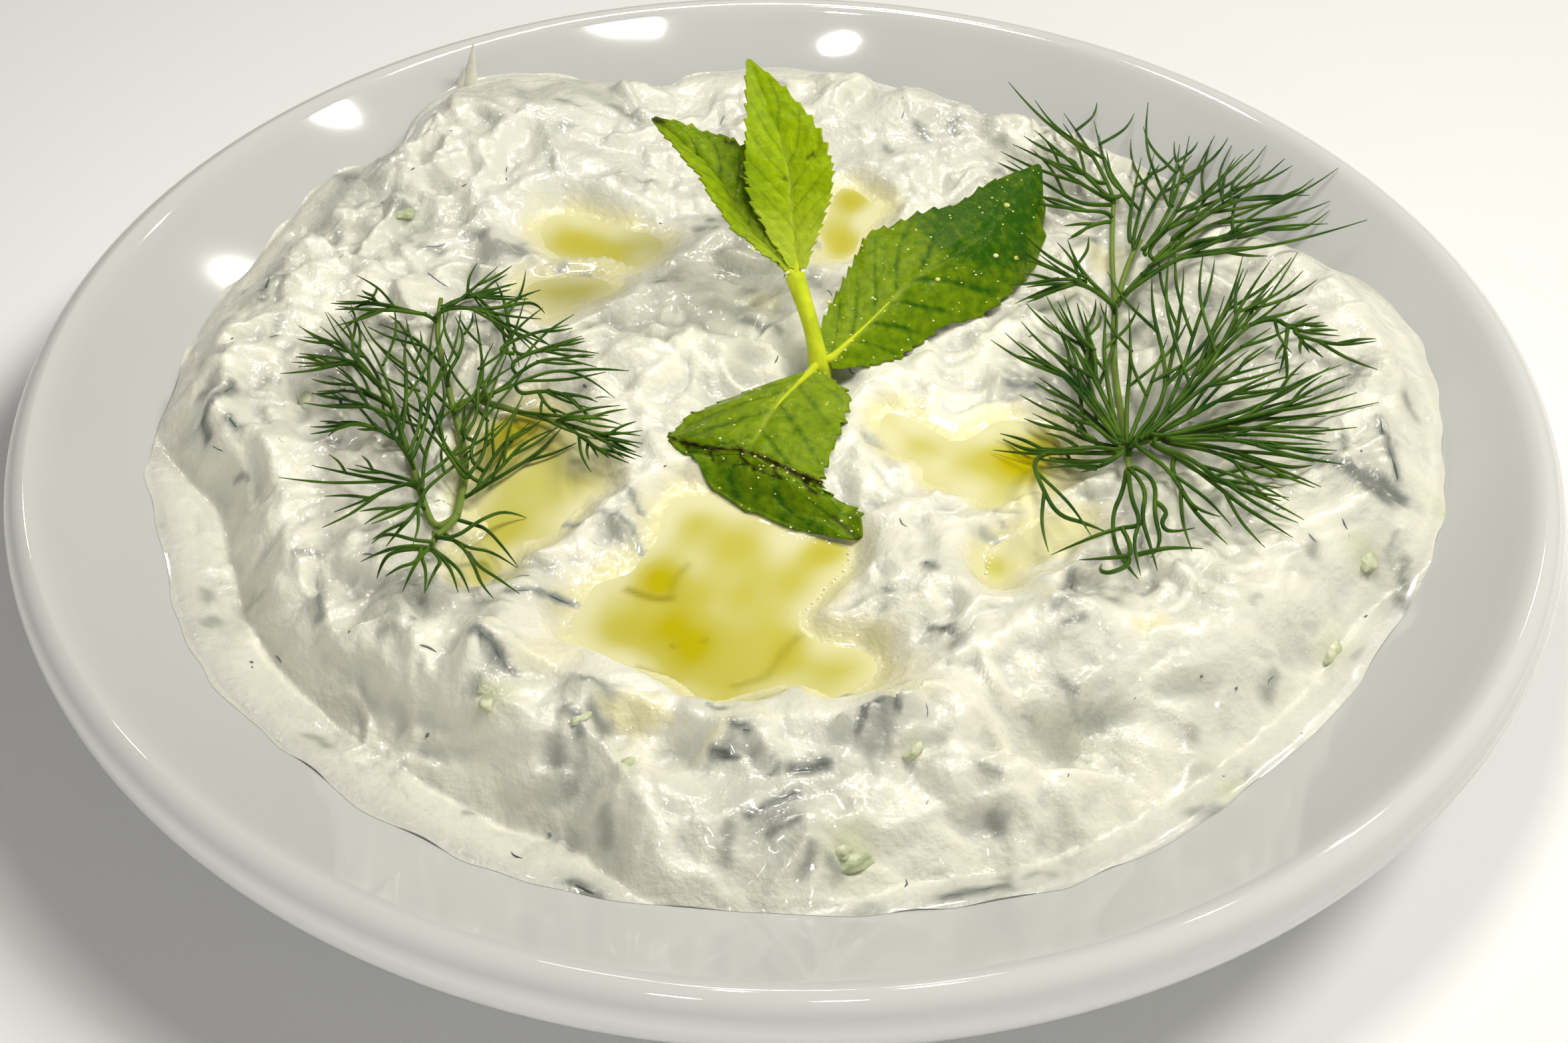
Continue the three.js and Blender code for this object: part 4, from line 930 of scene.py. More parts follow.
mintLeaves = {          # midrib, heading of the halves, their widths from base to tip, their slopes
    "mint_leaf_left": {
        "midrib": [(0.0, 15.3, 28.4), (-5.3, 19.4, 32), (-10.5, 26.7, 36), (-19.3, 35.9, 38.5)],
        "across": (40, 45, 49, 49), "left": (0.9, 2.0, 3.4, 4.0, 3.8, 2.6, 0.4),
        "right": (0.9, 3.0, 5.6, 7.0, 6.4, 4.0, 0.4), "slope": (24, 8), "droop": (0, 0), "ripple": 0.3,
        "tone": (0.28, 0.48), "rib": 0.45, "vein": 0.6, "fade": 0.12, "pale": 0.5},
    "mint_leaf_upright": {
        "midrib": [(0.9, 15.5, 28.5), (0.1, 21, 33), (-0.9, 27.6, 38), (-6.4, 41.8, 44.5)],
        "across": (0, 0, 0, 12), "left": (1.2, 3.6, 5.6, 6.4, 5.8, 3.4, 0.3),
        "right": (1.4, 3.0, 4.9, 6.0, 5.9, 4.2, 0.3), "slope": (18, 18), "droop": (0, 0), "ripple": 0.35,
        "tone": (0.2, 0.15), "rib": 0.6, "vein": 0.9, "fade": 0.2, "pale": 0.7},
    "mint_leaf_right": {
        "midrib": [(5.4, 6.0, 21.0), (11.1, 13.3, 22.2), (17, 21.4, 23.4), (27, 31.7, 24.4), (36, 48.6, 24)],
        "across": (-58, -58, -58, -50, -35), "left": (3.2, 6, 7.4, 9.3, 9.7, 8.0, 6.0, 4.0, 0.4),
        "right": (1.2, 3.6, 5.9, 6.6, 7.2, 8.4, 8.5, 6.6, 0.4),
        "slope": (14, -26), "droop": (0, 2.4), "ripple": 0.45, "tone": (0.61, 0.66), "rib": 0.36,
        "vein": 0.4, "fade": 0.2, "pale": 0.0},
    "mint_leaf_front": {
        "midrib": [(3.0, 3.6, 20.9), (-1.6, -3.5, 20.4), (-4.5, -11.8, 19.5), (-3.2, -13.9, 18.4),
                   (9, -24, 16.5)],
        "across": (0, -8, -24, -24, 15), "left": (2.0, 8.4, 10.6, 11.4, 11.5, 11.3, 10.4, 7.6, 0.6),
        "right": (2.0, 7.6, 9.2, 9.9, 10, 9.8, 9.0, 6.6, 0.6),
        "slope": (0, 0), "droop": (3.0, 0.9), "ripple": 0.3, "tone": (0.54, 0.56), "rib": 0.26, "vein": 0.8,
        "fade": 0.12, "pale": 0.1},
}
petioles = {"foot": 0.65, "tip": 0.08, "sink": 0.12}          # ribs from the stem out along the leaves
# painted shade at folds and curls of the leaves, then bruises, on the picture: pixels, half width in pixels,
# strength
paintedLeafShade = [([(1435, 325), (1490, 352)], 46, 0.7), ([(1030, 690), (1130, 760), (1230, 800)], 42, 0.2),
              ([(1560, 250), (1500, 300)], 40, 0.25), ([(1110, 250), (1130, 330)], 30, 0.2)]
leafBruises = [([(1009, 659), (1060, 674), (1112, 676), (1153, 690), (1190, 708), (1240, 728)], 3.2, 1.0),
               ([(1108, 668), (1116, 690), (1135, 706), (1165, 716)], 2.4, 0.95),
               ([(1064, 672), (1072, 692)], 2, 0.9), ([(1140, 684), (1172, 700), (1215, 720)], 5.0, 0.95),
               ([(1160, 700), (1170, 716), (1182, 722)], 2.4, 0.9),
               ([(1205, 716), (1215, 735), (1228, 742)], 2.6, 0.9), ([(1030, 664), (1036, 678)], 1.8, 0.8),
               ([(985, 178), (996, 184)], 7, 0.95), ([(1090, 213), (1104, 216)], 4, 0.9),
               ([(1565, 232), (1580, 236)], 9, 0.8), ([(1250, 776), (1268, 790), (1292, 812)], 4, 0.75),
               ([(1216, 236), (1222, 230)], 3.5, 0.8), ([(1178, 268), (1180, 270)], 3, 0.7)]


def alongProfile(share, values):          # smooth run through evenly spaced values
    values = np.array([2 * values[0] - values[1], *values, 2 * values[-1] - values[-2]])
    place = share * (len(values) - 3)
    span = np.clip(np.floor(place).astype(int), 0, len(values) - 4)
    part = place - span
    before, start, end, after = values[span], values[span + 1], values[span + 2], values[span + 3]
    bend, curl = 2 * before - 5 * start + 4 * end - after, 3 * (start - end) + after - before
    return start + 0.5 * ((end - before) * part + bend * part ** 2 + curl * part ** 3)


# flat arrays of places on the leaf to points in mm, and masks
def leafSurface(leaf, share, sideways):
    midrib = smoothCurve(leaf["midrib"], share)
    stops = np.linspace(0, 1, len(leaf["across"]))
    heading = np.radians(np.interp(share, stops, leaf["across"]))
    right = sideways >= 0
    half = np.where(right, alongProfile(share, leaf["right"]), alongProfile(share, leaf["left"]))
    fullness = np.clip(half / max(leaf["left"]), 0, 1)
    slope = np.radians(np.where(right, leaf["slope"][1], leaf["slope"][0]))
    tooth = (share * mint["teeth"] + 0.15 * np.sin(9 * share)) % 1
    margin = np.clip((np.abs(sideways) - 0.82) / 0.18, 0, 1)
    width = np.maximum(half, 0.3)
    uneven = 1 + 1.2 * noiseAt(share, np.sign(sideways), 0.06, leaf["slope"][0])
    width = width + mint["toothReach"] * uneven * (tooth ** 1.6 - 0.45) * margin * np.minimum(fullness * 2, 1)
    reach = sideways * width
    droop = np.where(right, leaf["droop"][1], leaf["droop"][0]) * sideways ** 2
    ripple = leaf["ripple"] * sideways ** 2 * np.sin(2 * math.pi * mint["ripples"] * share + 2 * sideways + 2)
    row = share * mint["sideVeins"] - np.abs(sideways) * mint["veinSlant"] + np.where(right, 0.3, 0)
    gap = np.abs(row - np.round(row))
    inner = 1 - np.abs(sideways) ** 4
    relief = mint["quilt"] * (2 * gap) ** 0.7 * inner - 0.3 * bell(reach, 0.5)
    relief = relief + mint["pucker"] * noiseAt(share * 40, reach, 1.6, leaf["slope"][0]) * inner
    rise = np.abs(reach) * np.sin(slope) + (ripple + relief - droop) * fullness
    points = np.stack([midrib[:, 0] + reach * np.cos(slope) * np.cos(heading),
                       midrib[:, 1] + reach * np.cos(slope) * np.sin(heading),
                       midrib[:, 2] + rise], 1)
    ending = smoothstep(share, leaf["rib"], leaf["rib"] + 0.25)
    vein = leaf["vein"] * bell(reach, mint["veinHalf"]) * (1 - ending)
    vein = np.maximum(vein, leaf["pale"] * (1 - smoothstep(share, 0.05, 0.5)))
    # the side-vein grooves, painted darker later as shade in them
    groove = bell(gap, 0.1) * inner * np.minimum(fullness * 1.5, 1)
    return points, vein, groove


def leafLook():
    look, tree, shader = newMaterial("mint leaf", Specular_IOR_Level=0.22, Specular_Tint=(0.85, 0.9, 0.2, 1))
    vein, deep, bruise, _ = paintMasks(tree, "leafPaint")
    cloud = calculate(tree, "SUBTRACT", addCloud(tree, mint["mottleSize"]), 0.5)
    mottle = calculate(tree, "MULTIPLY", cloud, mint["mottle"])
    tone = addNode(tree, "ShaderNodeClamp", {0: calculate(tree, "ADD", deep, mottle)}).outputs[0]
    colour = mixColour(tree, tone, mint["lime"], mint["deep"])
    colour = mixColour(tree, calculate(tree, "MULTIPLY", vein, mint["veinShare"]), colour, mint["vein"])
    finishLook(tree, shader, mixColour(tree, bruise, colour, mint["bruise"]), *mint["wet"])
    return look


def addLeaves():
    look, blades = leafLook(), []
    for name, leaf in mintLeaves.items():
        bm = bmesh.new()
        bmesh.ops.create_grid(bm, x_segments=mint["columns"], y_segments=mint["rows"], size=1.0)
        flat = np.array([vert.co for vert in bm.verts])
        sideways, share = flat[:, 0], np.clip((flat[:, 1] + 1) / 2, 0, 1)
        points, vein, groove = leafSurface(leaf, share, sideways)
        ground = skinHeight(points[:, 0], points[:, 1]) + mint["clearance"]
        points[:, 2] = np.maximum(points[:, 2], ground)
        for vert, point in zip(bm.verts, points):
            vert.co = Vector(point) * mm
        bm.normal_update()
        grown = bmesh.ops.extrude_face_region(bm, geom=bm.faces[:])["geom"]
        below = math.copysign(mint["thickness"] * mm, -sum(vert.normal.z for vert in bm.verts))
        for vert in partsOf(grown, bmesh.types.BMVert):
            vert.co = vert.co + vert.normal * below
        bmesh.ops.recalc_face_normals(bm, faces=bm.faces)
        mesh = meshFrom(bm, name + "_blade")
        across, down = toPhoto(readPoints(mesh))
        copies = len(mesh.vertices) // len(share)
        share, sideways, vein, groove = [np.tile(part, copies) for part in (share, sideways, vein, groove)]
        deep = np.where(sideways < 0, leaf["tone"][0], leaf["tone"][1])
        # painted shade: the vein grooves darker
        deep = deep + leaf["fade"] * (share - 0.5) + 0.3 * groove
        wander = 9 * noiseAt(across, down, 22, 3.3)
        # painted shade on the leaves
        for path, half, strength in paintedLeafShade:
            distance = np.maximum(pathDistance(across, down, path)[0] + wander, 0)
            deep = deep + strength * bell(distance, half)
        bruise = np.zeros(len(share))
        ragged = 3.4 * noiseAt(across, down, 8, 9.3)
        for path, half, strength in leafBruises:
            distance = np.maximum(pathDistance(across, down, path)[0] + ragged, 0)
            bruise = np.maximum(bruise, strength * bell(distance, half))
        paint(mesh, "leafPaint", vein, deep, bruise)
        makePiece(name + "_blade", mesh, look, "mint_leaf", name)
        blades.append(points)
    print("mint leaves:", len(mintLeaves))
    return np.concatenate(blades)


def drawnTube(curve, points, radii, order=3):          # one tapering thread, points and radii in mm
    thread = curve.splines.new("NURBS")
    thread.points.add(len(points) - 1)
    for knot, point, radius in zip(thread.points, points, radii):
        knot.co = (*(np.asarray(point) * mm), 1)
        knot.radius = radius
    thread.order_u = min(order, len(points))
    thread.use_endpoint_u = True
    thread.resolution_u = 4


def newThreads(name, sides):
    curve = bpy.data.curves.new(name, "CURVE")
    curve.dimensions = "3D"
    curve.bevel_depth = mm
    curve.bevel_resolution = sides
    curve.use_fill_caps = True
    return curve


def threadMesh(curve, name):          # the threads as one mesh
    holder = bpy.data.objects.new("threads", curve)
    scene.collection.objects.link(holder)
    mesh = bpy.data.meshes.new_from_object(holder.evaluated_get(bpy.context.evaluated_depsgraph_get()))
    mesh.name = name
    bpy.data.objects.remove(holder)
    return mesh


def addMintStem():
    curve = newThreads("stalk", mintStem["sides"])
    shares = np.linspace(0, 1, 13)
    points = smoothCurve(mintStem["path"], shares)
    radii = np.interp(shares, np.linspace(0, 1, len(mintStem["radii"])), mintStem["radii"])
    for place, half, swelling in mintStem["knots"]:
        radii = radii + swelling * bell(shares - place, half)
    drawnTube(curve, points, radii, 4)
    for leaf in mintLeaves.values():
        shares = np.linspace(0, leaf["rib"], 9)
        ribs = smoothCurve(leaf["midrib"], shares) - np.array([0, 0, petioles["sink"]])
        ground = skinHeight(ribs[:, 0], ribs[:, 1]) + mint["clearance"]
        ribs[:, 2] = np.maximum(ribs[:, 2], ground)
        nearest = points[np.argmin(np.linalg.norm(points - ribs[0], axis=1))]
        taper = petioles["foot"] + (petioles["tip"] - petioles["foot"]) * (shares / leaf["rib"]) ** 0.5
        drawnTube(curve, [nearest, *ribs], [petioles["foot"], *taper], 4)
    look, tree, shader = newMaterial("mint stem", Specular_IOR_Level=0.2, Specular_Tint=(0.9, 0.9, 0.3, 1))
    colour = mixColour(tree, addCloud(tree, mintStem["toneSize"]), mint["stemColour"], mint["stemShade"])
    finishLook(tree, shader, colour, *mintStem["wet"])
    makePiece("mint_stalk", threadMesh(curve, "mint_stalk"), look, "mint_stem", "mint_stem")


addMintStem()
leafPoints = addLeaves()

# oil drops on the leaves: seeded small ones, and larger ones at listed places on the picture; bubbles at the
# oil's edges, painted pale as glints
drops = {"seed": 3, "count": 300, "bubbles": 48, "bubbleSize": (0.14, 0.26), "small": (0.08, 0.22),
         # pale: painted highlight colour for the bubbles
         "flat": 0.6, "colour": (0.86, 0.84, 0.46), "shade": (0.55, 0.56, 0.06), "pale": (0.96, 0.95, 0.82),
         "toneSize": 3, "stray": 0.5, "wet": (2, 0.02, 0.06, 0.005)}
placedDrops = [          # pixel, radius in mm
    (1512, 309, 0.5), (1497, 383, 0.45), (1527, 388, 0.45), (1296, 289, 0.4), (1151, 162, 0.45),
    (1067, 219, 0.45), (1122, 388, 0.4), (1149, 455, 0.45), (1234, 448, 0.4), (1196, 250, 0.4),
    (1230, 160, 0.35), (1410, 420, 0.4)]
# painted highlight: these bubbles are painted pale below, as glints on the oil's edge
glintBubblePaths = [          # runs of small bubbles at the edges of the oil, in pixels
    [(1150, 798), (1190, 807), (1250, 816)], [(1284, 820), (1268, 858), (1240, 890), (1214, 912)],
    [(1012, 900), (1014, 872)], [(1480, 862), (1486, 838), (1510, 818)]]


def addDrops():
    draw = random.Random(drops["seed"])
    across, down = toPhoto(leafPoints)
    spots = []
    for pixelX, pixelY, radius in placedDrops:
        nearest = np.argmin(spotDistance(across, down, (pixelX, pixelY)))
        spots.append((leafPoints[nearest], radius))
    for _ in range(drops["count"]):
        spots.append((leafPoints[draw.randrange(len(leafPoints))], draw.uniform(*drops["small"])))
    shares = np.linspace(0, 1, drops["bubbles"] // len(glintBubblePaths))
    stray = drops["stray"]
    for path in glintBubblePaths:
        for point in smoothCurve(onDip(path, 0.05, skinHeight), shares):
            shift = np.array([draw.uniform(-stray, stray), draw.uniform(-stray, stray), 0])
            spots.append((point + shift, draw.uniform(*drops["bubbleSize"])))
    bm = bmesh.new()
    for point, radius in spots:
        place = Matrix.Translation(Vector(point) * mm)
        size = Matrix.Diagonal((radius * mm, radius * mm, drops["flat"] * radius * mm, 1))
        bmesh.ops.create_icosphere(bm, subdivisions=2, radius=1.0, matrix=place @ size)
    mesh = meshFrom(bm, "oil_drops")
    onLeaf = len(mesh.vertices) // len(spots) * (len(placedDrops) + drops["count"])
    # painted highlight: the bubbles painted pale, as glints
    paint(mesh, "bubbleGlintPaint", np.arange(len(mesh.vertices)) >= onLeaf)          # bubbles are paler
    look, tree, shader = newMaterial("oil drop", Coat_Weight=1.0, Coat_Roughness=0.02)
    colour = mixColour(tree, addCloud(tree, drops["toneSize"]), drops["colour"], drops["shade"])
    colour = mixColour(tree, paintMasks(tree, "bubbleGlintPaint")[0], colour, drops["pale"])
    finishLook(tree, shader, colour, *drops["wet"])
    makePiece("oil_drops", mesh, look, "oil")
    print("oil drops:", len(spots))


addDrops()

# dill: needles drawn on enlarged parts of the picture, from the base to the tip
dill = {"stemRadius": 0.55, "branchRadius": 0.28, "tipRadius": 0.05, "forkRadius": 0.21, "lift": 1.2,
        "arch": 2.4, "join": 8, "overLeaf": 0.5, "colour": (0.012, 0.052, 0.006),
        "light": (0.072, 0.148, 0.013), "stem": (0.21, 0.29, 0.06), "stemLift": (1.0, 2.6), "stemTaper": 0.6,
        "stemShare": 0.7, "leafReach": 6, "forkFrom": 0.25, "forkSpan": 0.45, "forkLean": (20, 34),
        "forkStep": (0.24, 0.34), "forkClear": 0.5, "toneSize": 5, "wet": (0.8, 0.25, 0.5, 0.05)}
dillSprigs = {
    "dill_left": {
        "corner": (420, 380), "zoom": 2.8, "seed": 5, "forks": 2, "thick": 1.0, "bareFrom": 1140,
        "stems": [
            [(745, 1110), (790, 940), (770, 790), (735, 670), (700, 520), (668, 380), (664, 290), (680, 195)],
            [(660, 1190), (600, 1040), (560, 880), (520, 780), (480, 660), (420, 560)],
            [(740, 655), (800, 610), (900, 600)], [(830, 620), (940, 650), (1080, 690), (1210, 722)],
            [(660, 1180), (650, 1220), (630, 1250)], [(745, 1110), (705, 1165), (660, 1190)]],
        "branches": [
            [(650, 268), (530, 240), (400, 205), (240, 205)],
            [(620, 262), (450, 235), (340, 262), (258, 330)],
            [(560, 250), (420, 215), (330, 215), (290, 255)], [(400, 200), (395, 185), (380, 172)],
            [(680, 240), (780, 230), (870, 250), (960, 300), (1090, 440)],
            [(700, 225), (880, 240), (1000, 215), (1085, 208), (1117, 255)],
            [(690, 230), (740, 215), (830, 140), (920, 58)],
            [(700, 220), (780, 185), (900, 180), (1002, 187)],
            [(720, 215), (790, 185), (880, 155), (970, 140)],
            [(985, 400), (960, 280), (945, 190), (908, 113)],
            [(860, 210), (930, 280), (990, 370), (1010, 480)],
            [(880, 600), (1000, 550), (1150, 490), (1290, 510), (1412, 612)],
            [(960, 540), (1090, 450), (1210, 445), (1335, 482)],
            [(1000, 440), (1100, 410), (1220, 405), (1345, 424)],
            [(960, 470), (1060, 420), (1150, 390), (1275, 350)],
            [(900, 420), (1000, 360), (1100, 330), (1218, 303)],
            [(1000, 600), (1100, 580), (1200, 592), (1262, 640), (1310, 712)],
            [(1130, 580), (1230, 610), (1300, 680)], [(1090, 590), (1130, 650), (1190, 700)],
            [(1180, 712), (1300, 750), (1400, 770), (1527, 748)],
            [(1250, 740), (1350, 770), (1440, 790), (1530, 803)],
            [(1200, 720), (1290, 790), (1380, 850), (1472, 886)],
            [(1150, 705), (1240, 700), (1350, 690), (1440, 724)],
            [(1000, 670), (1200, 690), (1300, 690), (1385, 684)], [(1290, 780), (1320, 820), (1342, 862)],
            [(1300, 760), (1400, 810), (1500, 840)],
            [(800, 1020), (900, 960), (1000, 900), (1110, 830), (1190, 735)],
            [(820, 1000), (940, 900), (1040, 780), (1180, 735)],
            [(830, 980), (900, 860), (980, 760), (1090, 720)],
            [(420, 560), (330, 440), (230, 365), (105, 355)],
            [(410, 560), (360, 480), (270, 390), (170, 308)],
            [(430, 550), (380, 460), (290, 350), (202, 250)], [(400, 540), (300, 455), (160, 470), (50, 460)],
            [(380, 500), (320, 460), (230, 440), (85, 424)], [(330, 470), (220, 470), (80, 480)],
            [(470, 640), (400, 600), (320, 560), (205, 518)],
            [(470, 650), (400, 610), (300, 575), (160, 584)],
            [(480, 690), (390, 650), (290, 620), (182, 598)],
            [(480, 690), (380, 650), (290, 635), (183, 642)],
            [(510, 800), (440, 750), (340, 715), (270, 712), (193, 720)],
            [(420, 740), (320, 718), (240, 735), (205, 772)], [(470, 780), (420, 740), (358, 746)],
            [(600, 985), (450, 960), (290, 930), (135, 895)], [(580, 965), (450, 930), (320, 893)],
            [(600, 960), (480, 985), (370, 1040), (228, 1092)],
            [(600, 1050), (490, 1075), (420, 1100), (358, 1142)],
            [(600, 1050), (550, 1120), (500, 1170), (450, 1235)],
            [(545, 860), (500, 700), (440, 480), (300, 260)],
            [(520, 760), (540, 560), (520, 400), (545, 300)],
            [(560, 880), (640, 640), (620, 450), (650, 300)],
            [(735, 670), (620, 560), (560, 440), (480, 330)],
            [(740, 680), (860, 560), (850, 400), (820, 240)],
            [(780, 880), (860, 700), (900, 560), (960, 420)],
            [(790, 940), (690, 800), (640, 700), (560, 560)],
            [(790, 940), (860, 860), (880, 720), (860, 560)],
            [(600, 1000), (610, 860), (650, 740), (720, 560)],
            [(580, 960), (700, 880), (800, 760), (850, 640)],
            [(780, 960), (720, 860), (620, 740), (500, 640)],
            [(600, 1010), (680, 940), (760, 880), (830, 800)],
            [(700, 520), (760, 430), (780, 340), (740, 270)],
            [(690, 480), (620, 400), (540, 340), (420, 300)],
            [(560, 880), (470, 760), (430, 650), (430, 560)],
            [(545, 850), (600, 700), (590, 580), (480, 470)],
            [(760, 760), (820, 640), (900, 520), (1000, 470)],
            [(765, 780), (840, 690), (830, 500), (900, 380)],
            [(640, 1240), (540, 1232), (430, 1255), (343, 1300)],
            [(660, 1215), (570, 1212), (480, 1183), (415, 1192), (390, 1225)],
            [(600, 1245), (480, 1255), (430, 1300), (410, 1372)],
            [(600, 1260), (570, 1308), (500, 1322), (447, 1362)],
            [(620, 1255), (585, 1290), (550, 1350), (518, 1428)], [(600, 1290), (622, 1350), (610, 1435)],
            [(690, 1292), (650, 1340), (615, 1425)], [(650, 1250), (690, 1290), (730, 1345), (752, 1430)],
            [(650, 1250), (720, 1300), (770, 1350), (800, 1432)],
            [(720, 1200), (785, 1250), (825, 1330), (850, 1400), (902, 1456)],
            [(790, 1250), (830, 1315), (920, 1370), (1012, 1436)],
            [(670, 1200), (740, 1210), (800, 1245), (900, 1255), (1000, 1326)],
            [(820, 1145), (870, 1160), (940, 1235), (1005, 1322)],
            [(670, 1200), (750, 1195), (850, 1120), (960, 1080), (1040, 1116)]],
    },
    "dill_right": {
        "corner": (1490, 150), "zoom": 2.09, "seed": 11, "forks": 2, "thick": 1.2, "bareFrom": 1145,
        "stems": [
            [(432, 1115), (410, 1000), (385, 850), (385, 720), (390, 645), (380, 540), (378, 420),
             (385, 320)],
            [(392, 645), (440, 590), (520, 505), (620, 450)], [(425, 1110), (435, 1150), (430, 1200)],
            [(430, 1090), (520, 1060), (620, 1050)], [(392, 645), (415, 560), (445, 480), (470, 440)]],
        "branches": [
            [(430, 1085), (545, 950), (548, 820), (500, 650), (505, 558)],
            [(440, 1090), (520, 1000), (557, 860), (600, 650), (605, 530)],
            [(430, 1080), (500, 900), (555, 740)], [(425, 1080), (425, 950), (442, 800), (432, 655)],
            [(450, 1085), (540, 1000), (600, 860), (640, 720), (690, 590), (702, 502)],
            [(460, 1075), (560, 980), (640, 870), (690, 740), (760, 620), (790, 492)],
            [(560, 980), (690, 840), (760, 700), (810, 600), (880, 502)],
            [(640, 870), (740, 750), (830, 630), (910, 535)],
            [(690, 830), (780, 730), (860, 680), (950, 600)],
            [(560, 1000), (680, 850), (780, 780), (880, 716)],
            [(500, 1050), (650, 910), (760, 860), (905, 826)],
            [(520, 1040), (700, 950), (850, 890), (968, 860)],
            [(480, 1070), (640, 990), (790, 900), (905, 850)],
            [(500, 1070), (700, 1010), (850, 960), (960, 900), (1065, 840)],
            [(520, 1065), (750, 1010), (920, 970), (1020, 900), (1130, 862)],
            [(540, 1060), (780, 1020), (960, 960), (1110, 902)],
            [(540, 1065), (760, 1035), (930, 1026), (1065, 1032)],
            [(560, 1065), (700, 1050), (850, 1090), (960, 1095), (1087, 1102)],
            [(560, 1070), (720, 1065), (880, 1080), (1040, 1082)],
            [(560, 1075), (720, 1090), (860, 1140), (960, 1160), (1010, 1148)],
            [(540, 1080), (700, 1100), (820, 1170), (920, 1188), (985, 1190)],
            [(500, 1085), (620, 1120), (720, 1200), (820, 1235), (935, 1250)],
            [(500, 1085), (600, 1130), (680, 1190), (780, 1270), (860, 1320), (948, 1376)],
            [(560, 1110), (680, 1190), (800, 1205), (915, 1220)],
            [(470, 1100), (560, 1160), (620, 1270), (680, 1340), (742, 1397)],
            [(560, 1150), (600, 1230), (650, 1310), (716, 1362)], [(600, 1230), (640, 1290), (720, 1310)],
            [(400, 1080), (330, 960), (250, 870), (160, 822), (62, 800)],
            [(400, 1070), (310, 960), (210, 845), (85, 760)],
            [(405, 1060), (340, 960), (240, 840), (125, 730)],
            [(410, 1060), (350, 930), (280, 790), (165, 680)],
            [(405, 1040), (350, 930), (310, 820), (250, 710), (208, 632)],
            [(330, 870), (300, 740), (268, 633)], [(385, 1000), (360, 860), (352, 760), (362, 640)],
            [(330, 880), (325, 770), (285, 690)], [(400, 1085), (330, 1010), (240, 935), (150, 873)],
            [(400, 1090), (320, 1020), (240, 960), (168, 938)],
            [(400, 1095), (300, 1070), (220, 1030), (130, 985)], [(330, 1070), (270, 1040), (240, 980)],
            [(420, 1105), (300, 1085), (155, 1105)],
            [(400, 1110), (300, 1110), (200, 1105), (90, 1100), (38, 1066)],
            [(390, 1130), (300, 1140), (240, 1130), (180, 1125)], [(400, 1120), (330, 1160), (280, 1170)],
            [(425, 1150), (415, 1230), (380, 1300), (385, 1400), (430, 1470), (462, 1506)],
            [(430, 1160), (440, 1260), (470, 1320), (440, 1400), (470, 1495)],
            [(440, 1160), (490, 1230), (470, 1310), (500, 1400), (522, 1480)],
            [(450, 1150), (520, 1200), (510, 1300), (540, 1400), (500, 1440)],
            [(470, 1340), (400, 1345), (300, 1380), (188, 1430)], [(460, 1430), (380, 1440), (275, 1446)],
            [(440, 1460), (370, 1490), (335, 1478), (348, 1458)],
            [(560, 1290), (530, 1330), (560, 1365), (640, 1345)], [(500, 1420), (560, 1405), (665, 1410)],
            [(120, 1120), (160, 1220), (208, 1308), (300, 1330), (365, 1360)],
            [(400, 630), (500, 520), (640, 410), (790, 360), (975, 275)],
            [(420, 610), (560, 510), (720, 440), (860, 380), (962, 368)],
            [(500, 520), (640, 440), (780, 430), (900, 392), (1058, 390)],
            [(480, 560), (600, 490), (760, 465), (892, 460)],
            [(560, 480), (660, 450), (760, 440), (840, 405)],
            [(500, 510), (600, 420), (720, 330), (820, 280), (922, 185)],
            [(560, 440), (640, 380), (760, 320), (850, 300), (1000, 300)],
            [(480, 480), (570, 390), (700, 270), (790, 172)],
            [(560, 400), (640, 370), (740, 300), (845, 207)],
            [(470, 480), (540, 390), (600, 250), (622, 113)],
            [(480, 470), (570, 380), (640, 230), (702, 113)], [(440, 460), (470, 330), (512, 168)],
            [(450, 470), (500, 340), (590, 215), (630, 175)], [(430, 440), (440, 320), (472, 180)],
            [(560, 330), (580, 230), (592, 140)], [(390, 320), (350, 230), (290, 130), (228, 42)],
            [(430, 300), (375, 260), (345, 160), (323, 66)], [(370, 310), (300, 240), (220, 170), (135, 95)],
            [(360, 310), (260, 250), (180, 190), (68, 140)], [(340, 270), (280, 215), (210, 200)],
            [(370, 330), (280, 330), (180, 270), (50, 190)], [(370, 350), (280, 350), (200, 330), (150, 300)],
            [(370, 380), (300, 400), (250, 430)], [(385, 640), (300, 560), (260, 500), (240, 440)],
            [(390, 650), (330, 600), (250, 560), (160, 490)], [(380, 640), (280, 570), (180, 590), (75, 640)],
            [(300, 570), (220, 560), (90, 590)], [(300, 565), (200, 600), (130, 620)],
            [(880, 680), (930, 712), (1000, 735), (1095, 742)], [(930, 715), (980, 705), (1047, 700)],
            [(945, 735), (1050, 765), (1130, 770), (1210, 758)], [(960, 730), (985, 770), (1000, 795)],
            [(930, 720), (925, 790), (905, 860)]],
    },
}


# enlarged picture places to points over the dip or a leaf, in mm
def sprigPoints(sprig, drawn, lifts):
    (cornerX, cornerY), zoom = sprig["corner"], sprig["zoom"]
    pixels = [(cornerX + x / zoom, cornerY + y / zoom) for x, y in drawn]
    points = onDip(pixels, np.asarray(lifts))
    for index, (pixelX, pixelY) in enumerate(pixels):
        away = spotDistance(leafAcross, leafDown, (pixelX, pixelY))
        if away.min() < dill["leafReach"]:
            points[index] = leafPoints[np.argmin(away)] + dill["overLeaf"] * viewBack
    return points


def joined(points, sprigs):          # with a start on the nearest stem or needle drawn so far
    made = np.concatenate(sprigs)
    away = np.linalg.norm(made - points[0], axis=1)
    near = made[np.argmin(away)]
    return np.vstack([near, points]) if 0.05 < away.min() < dill["join"] else points


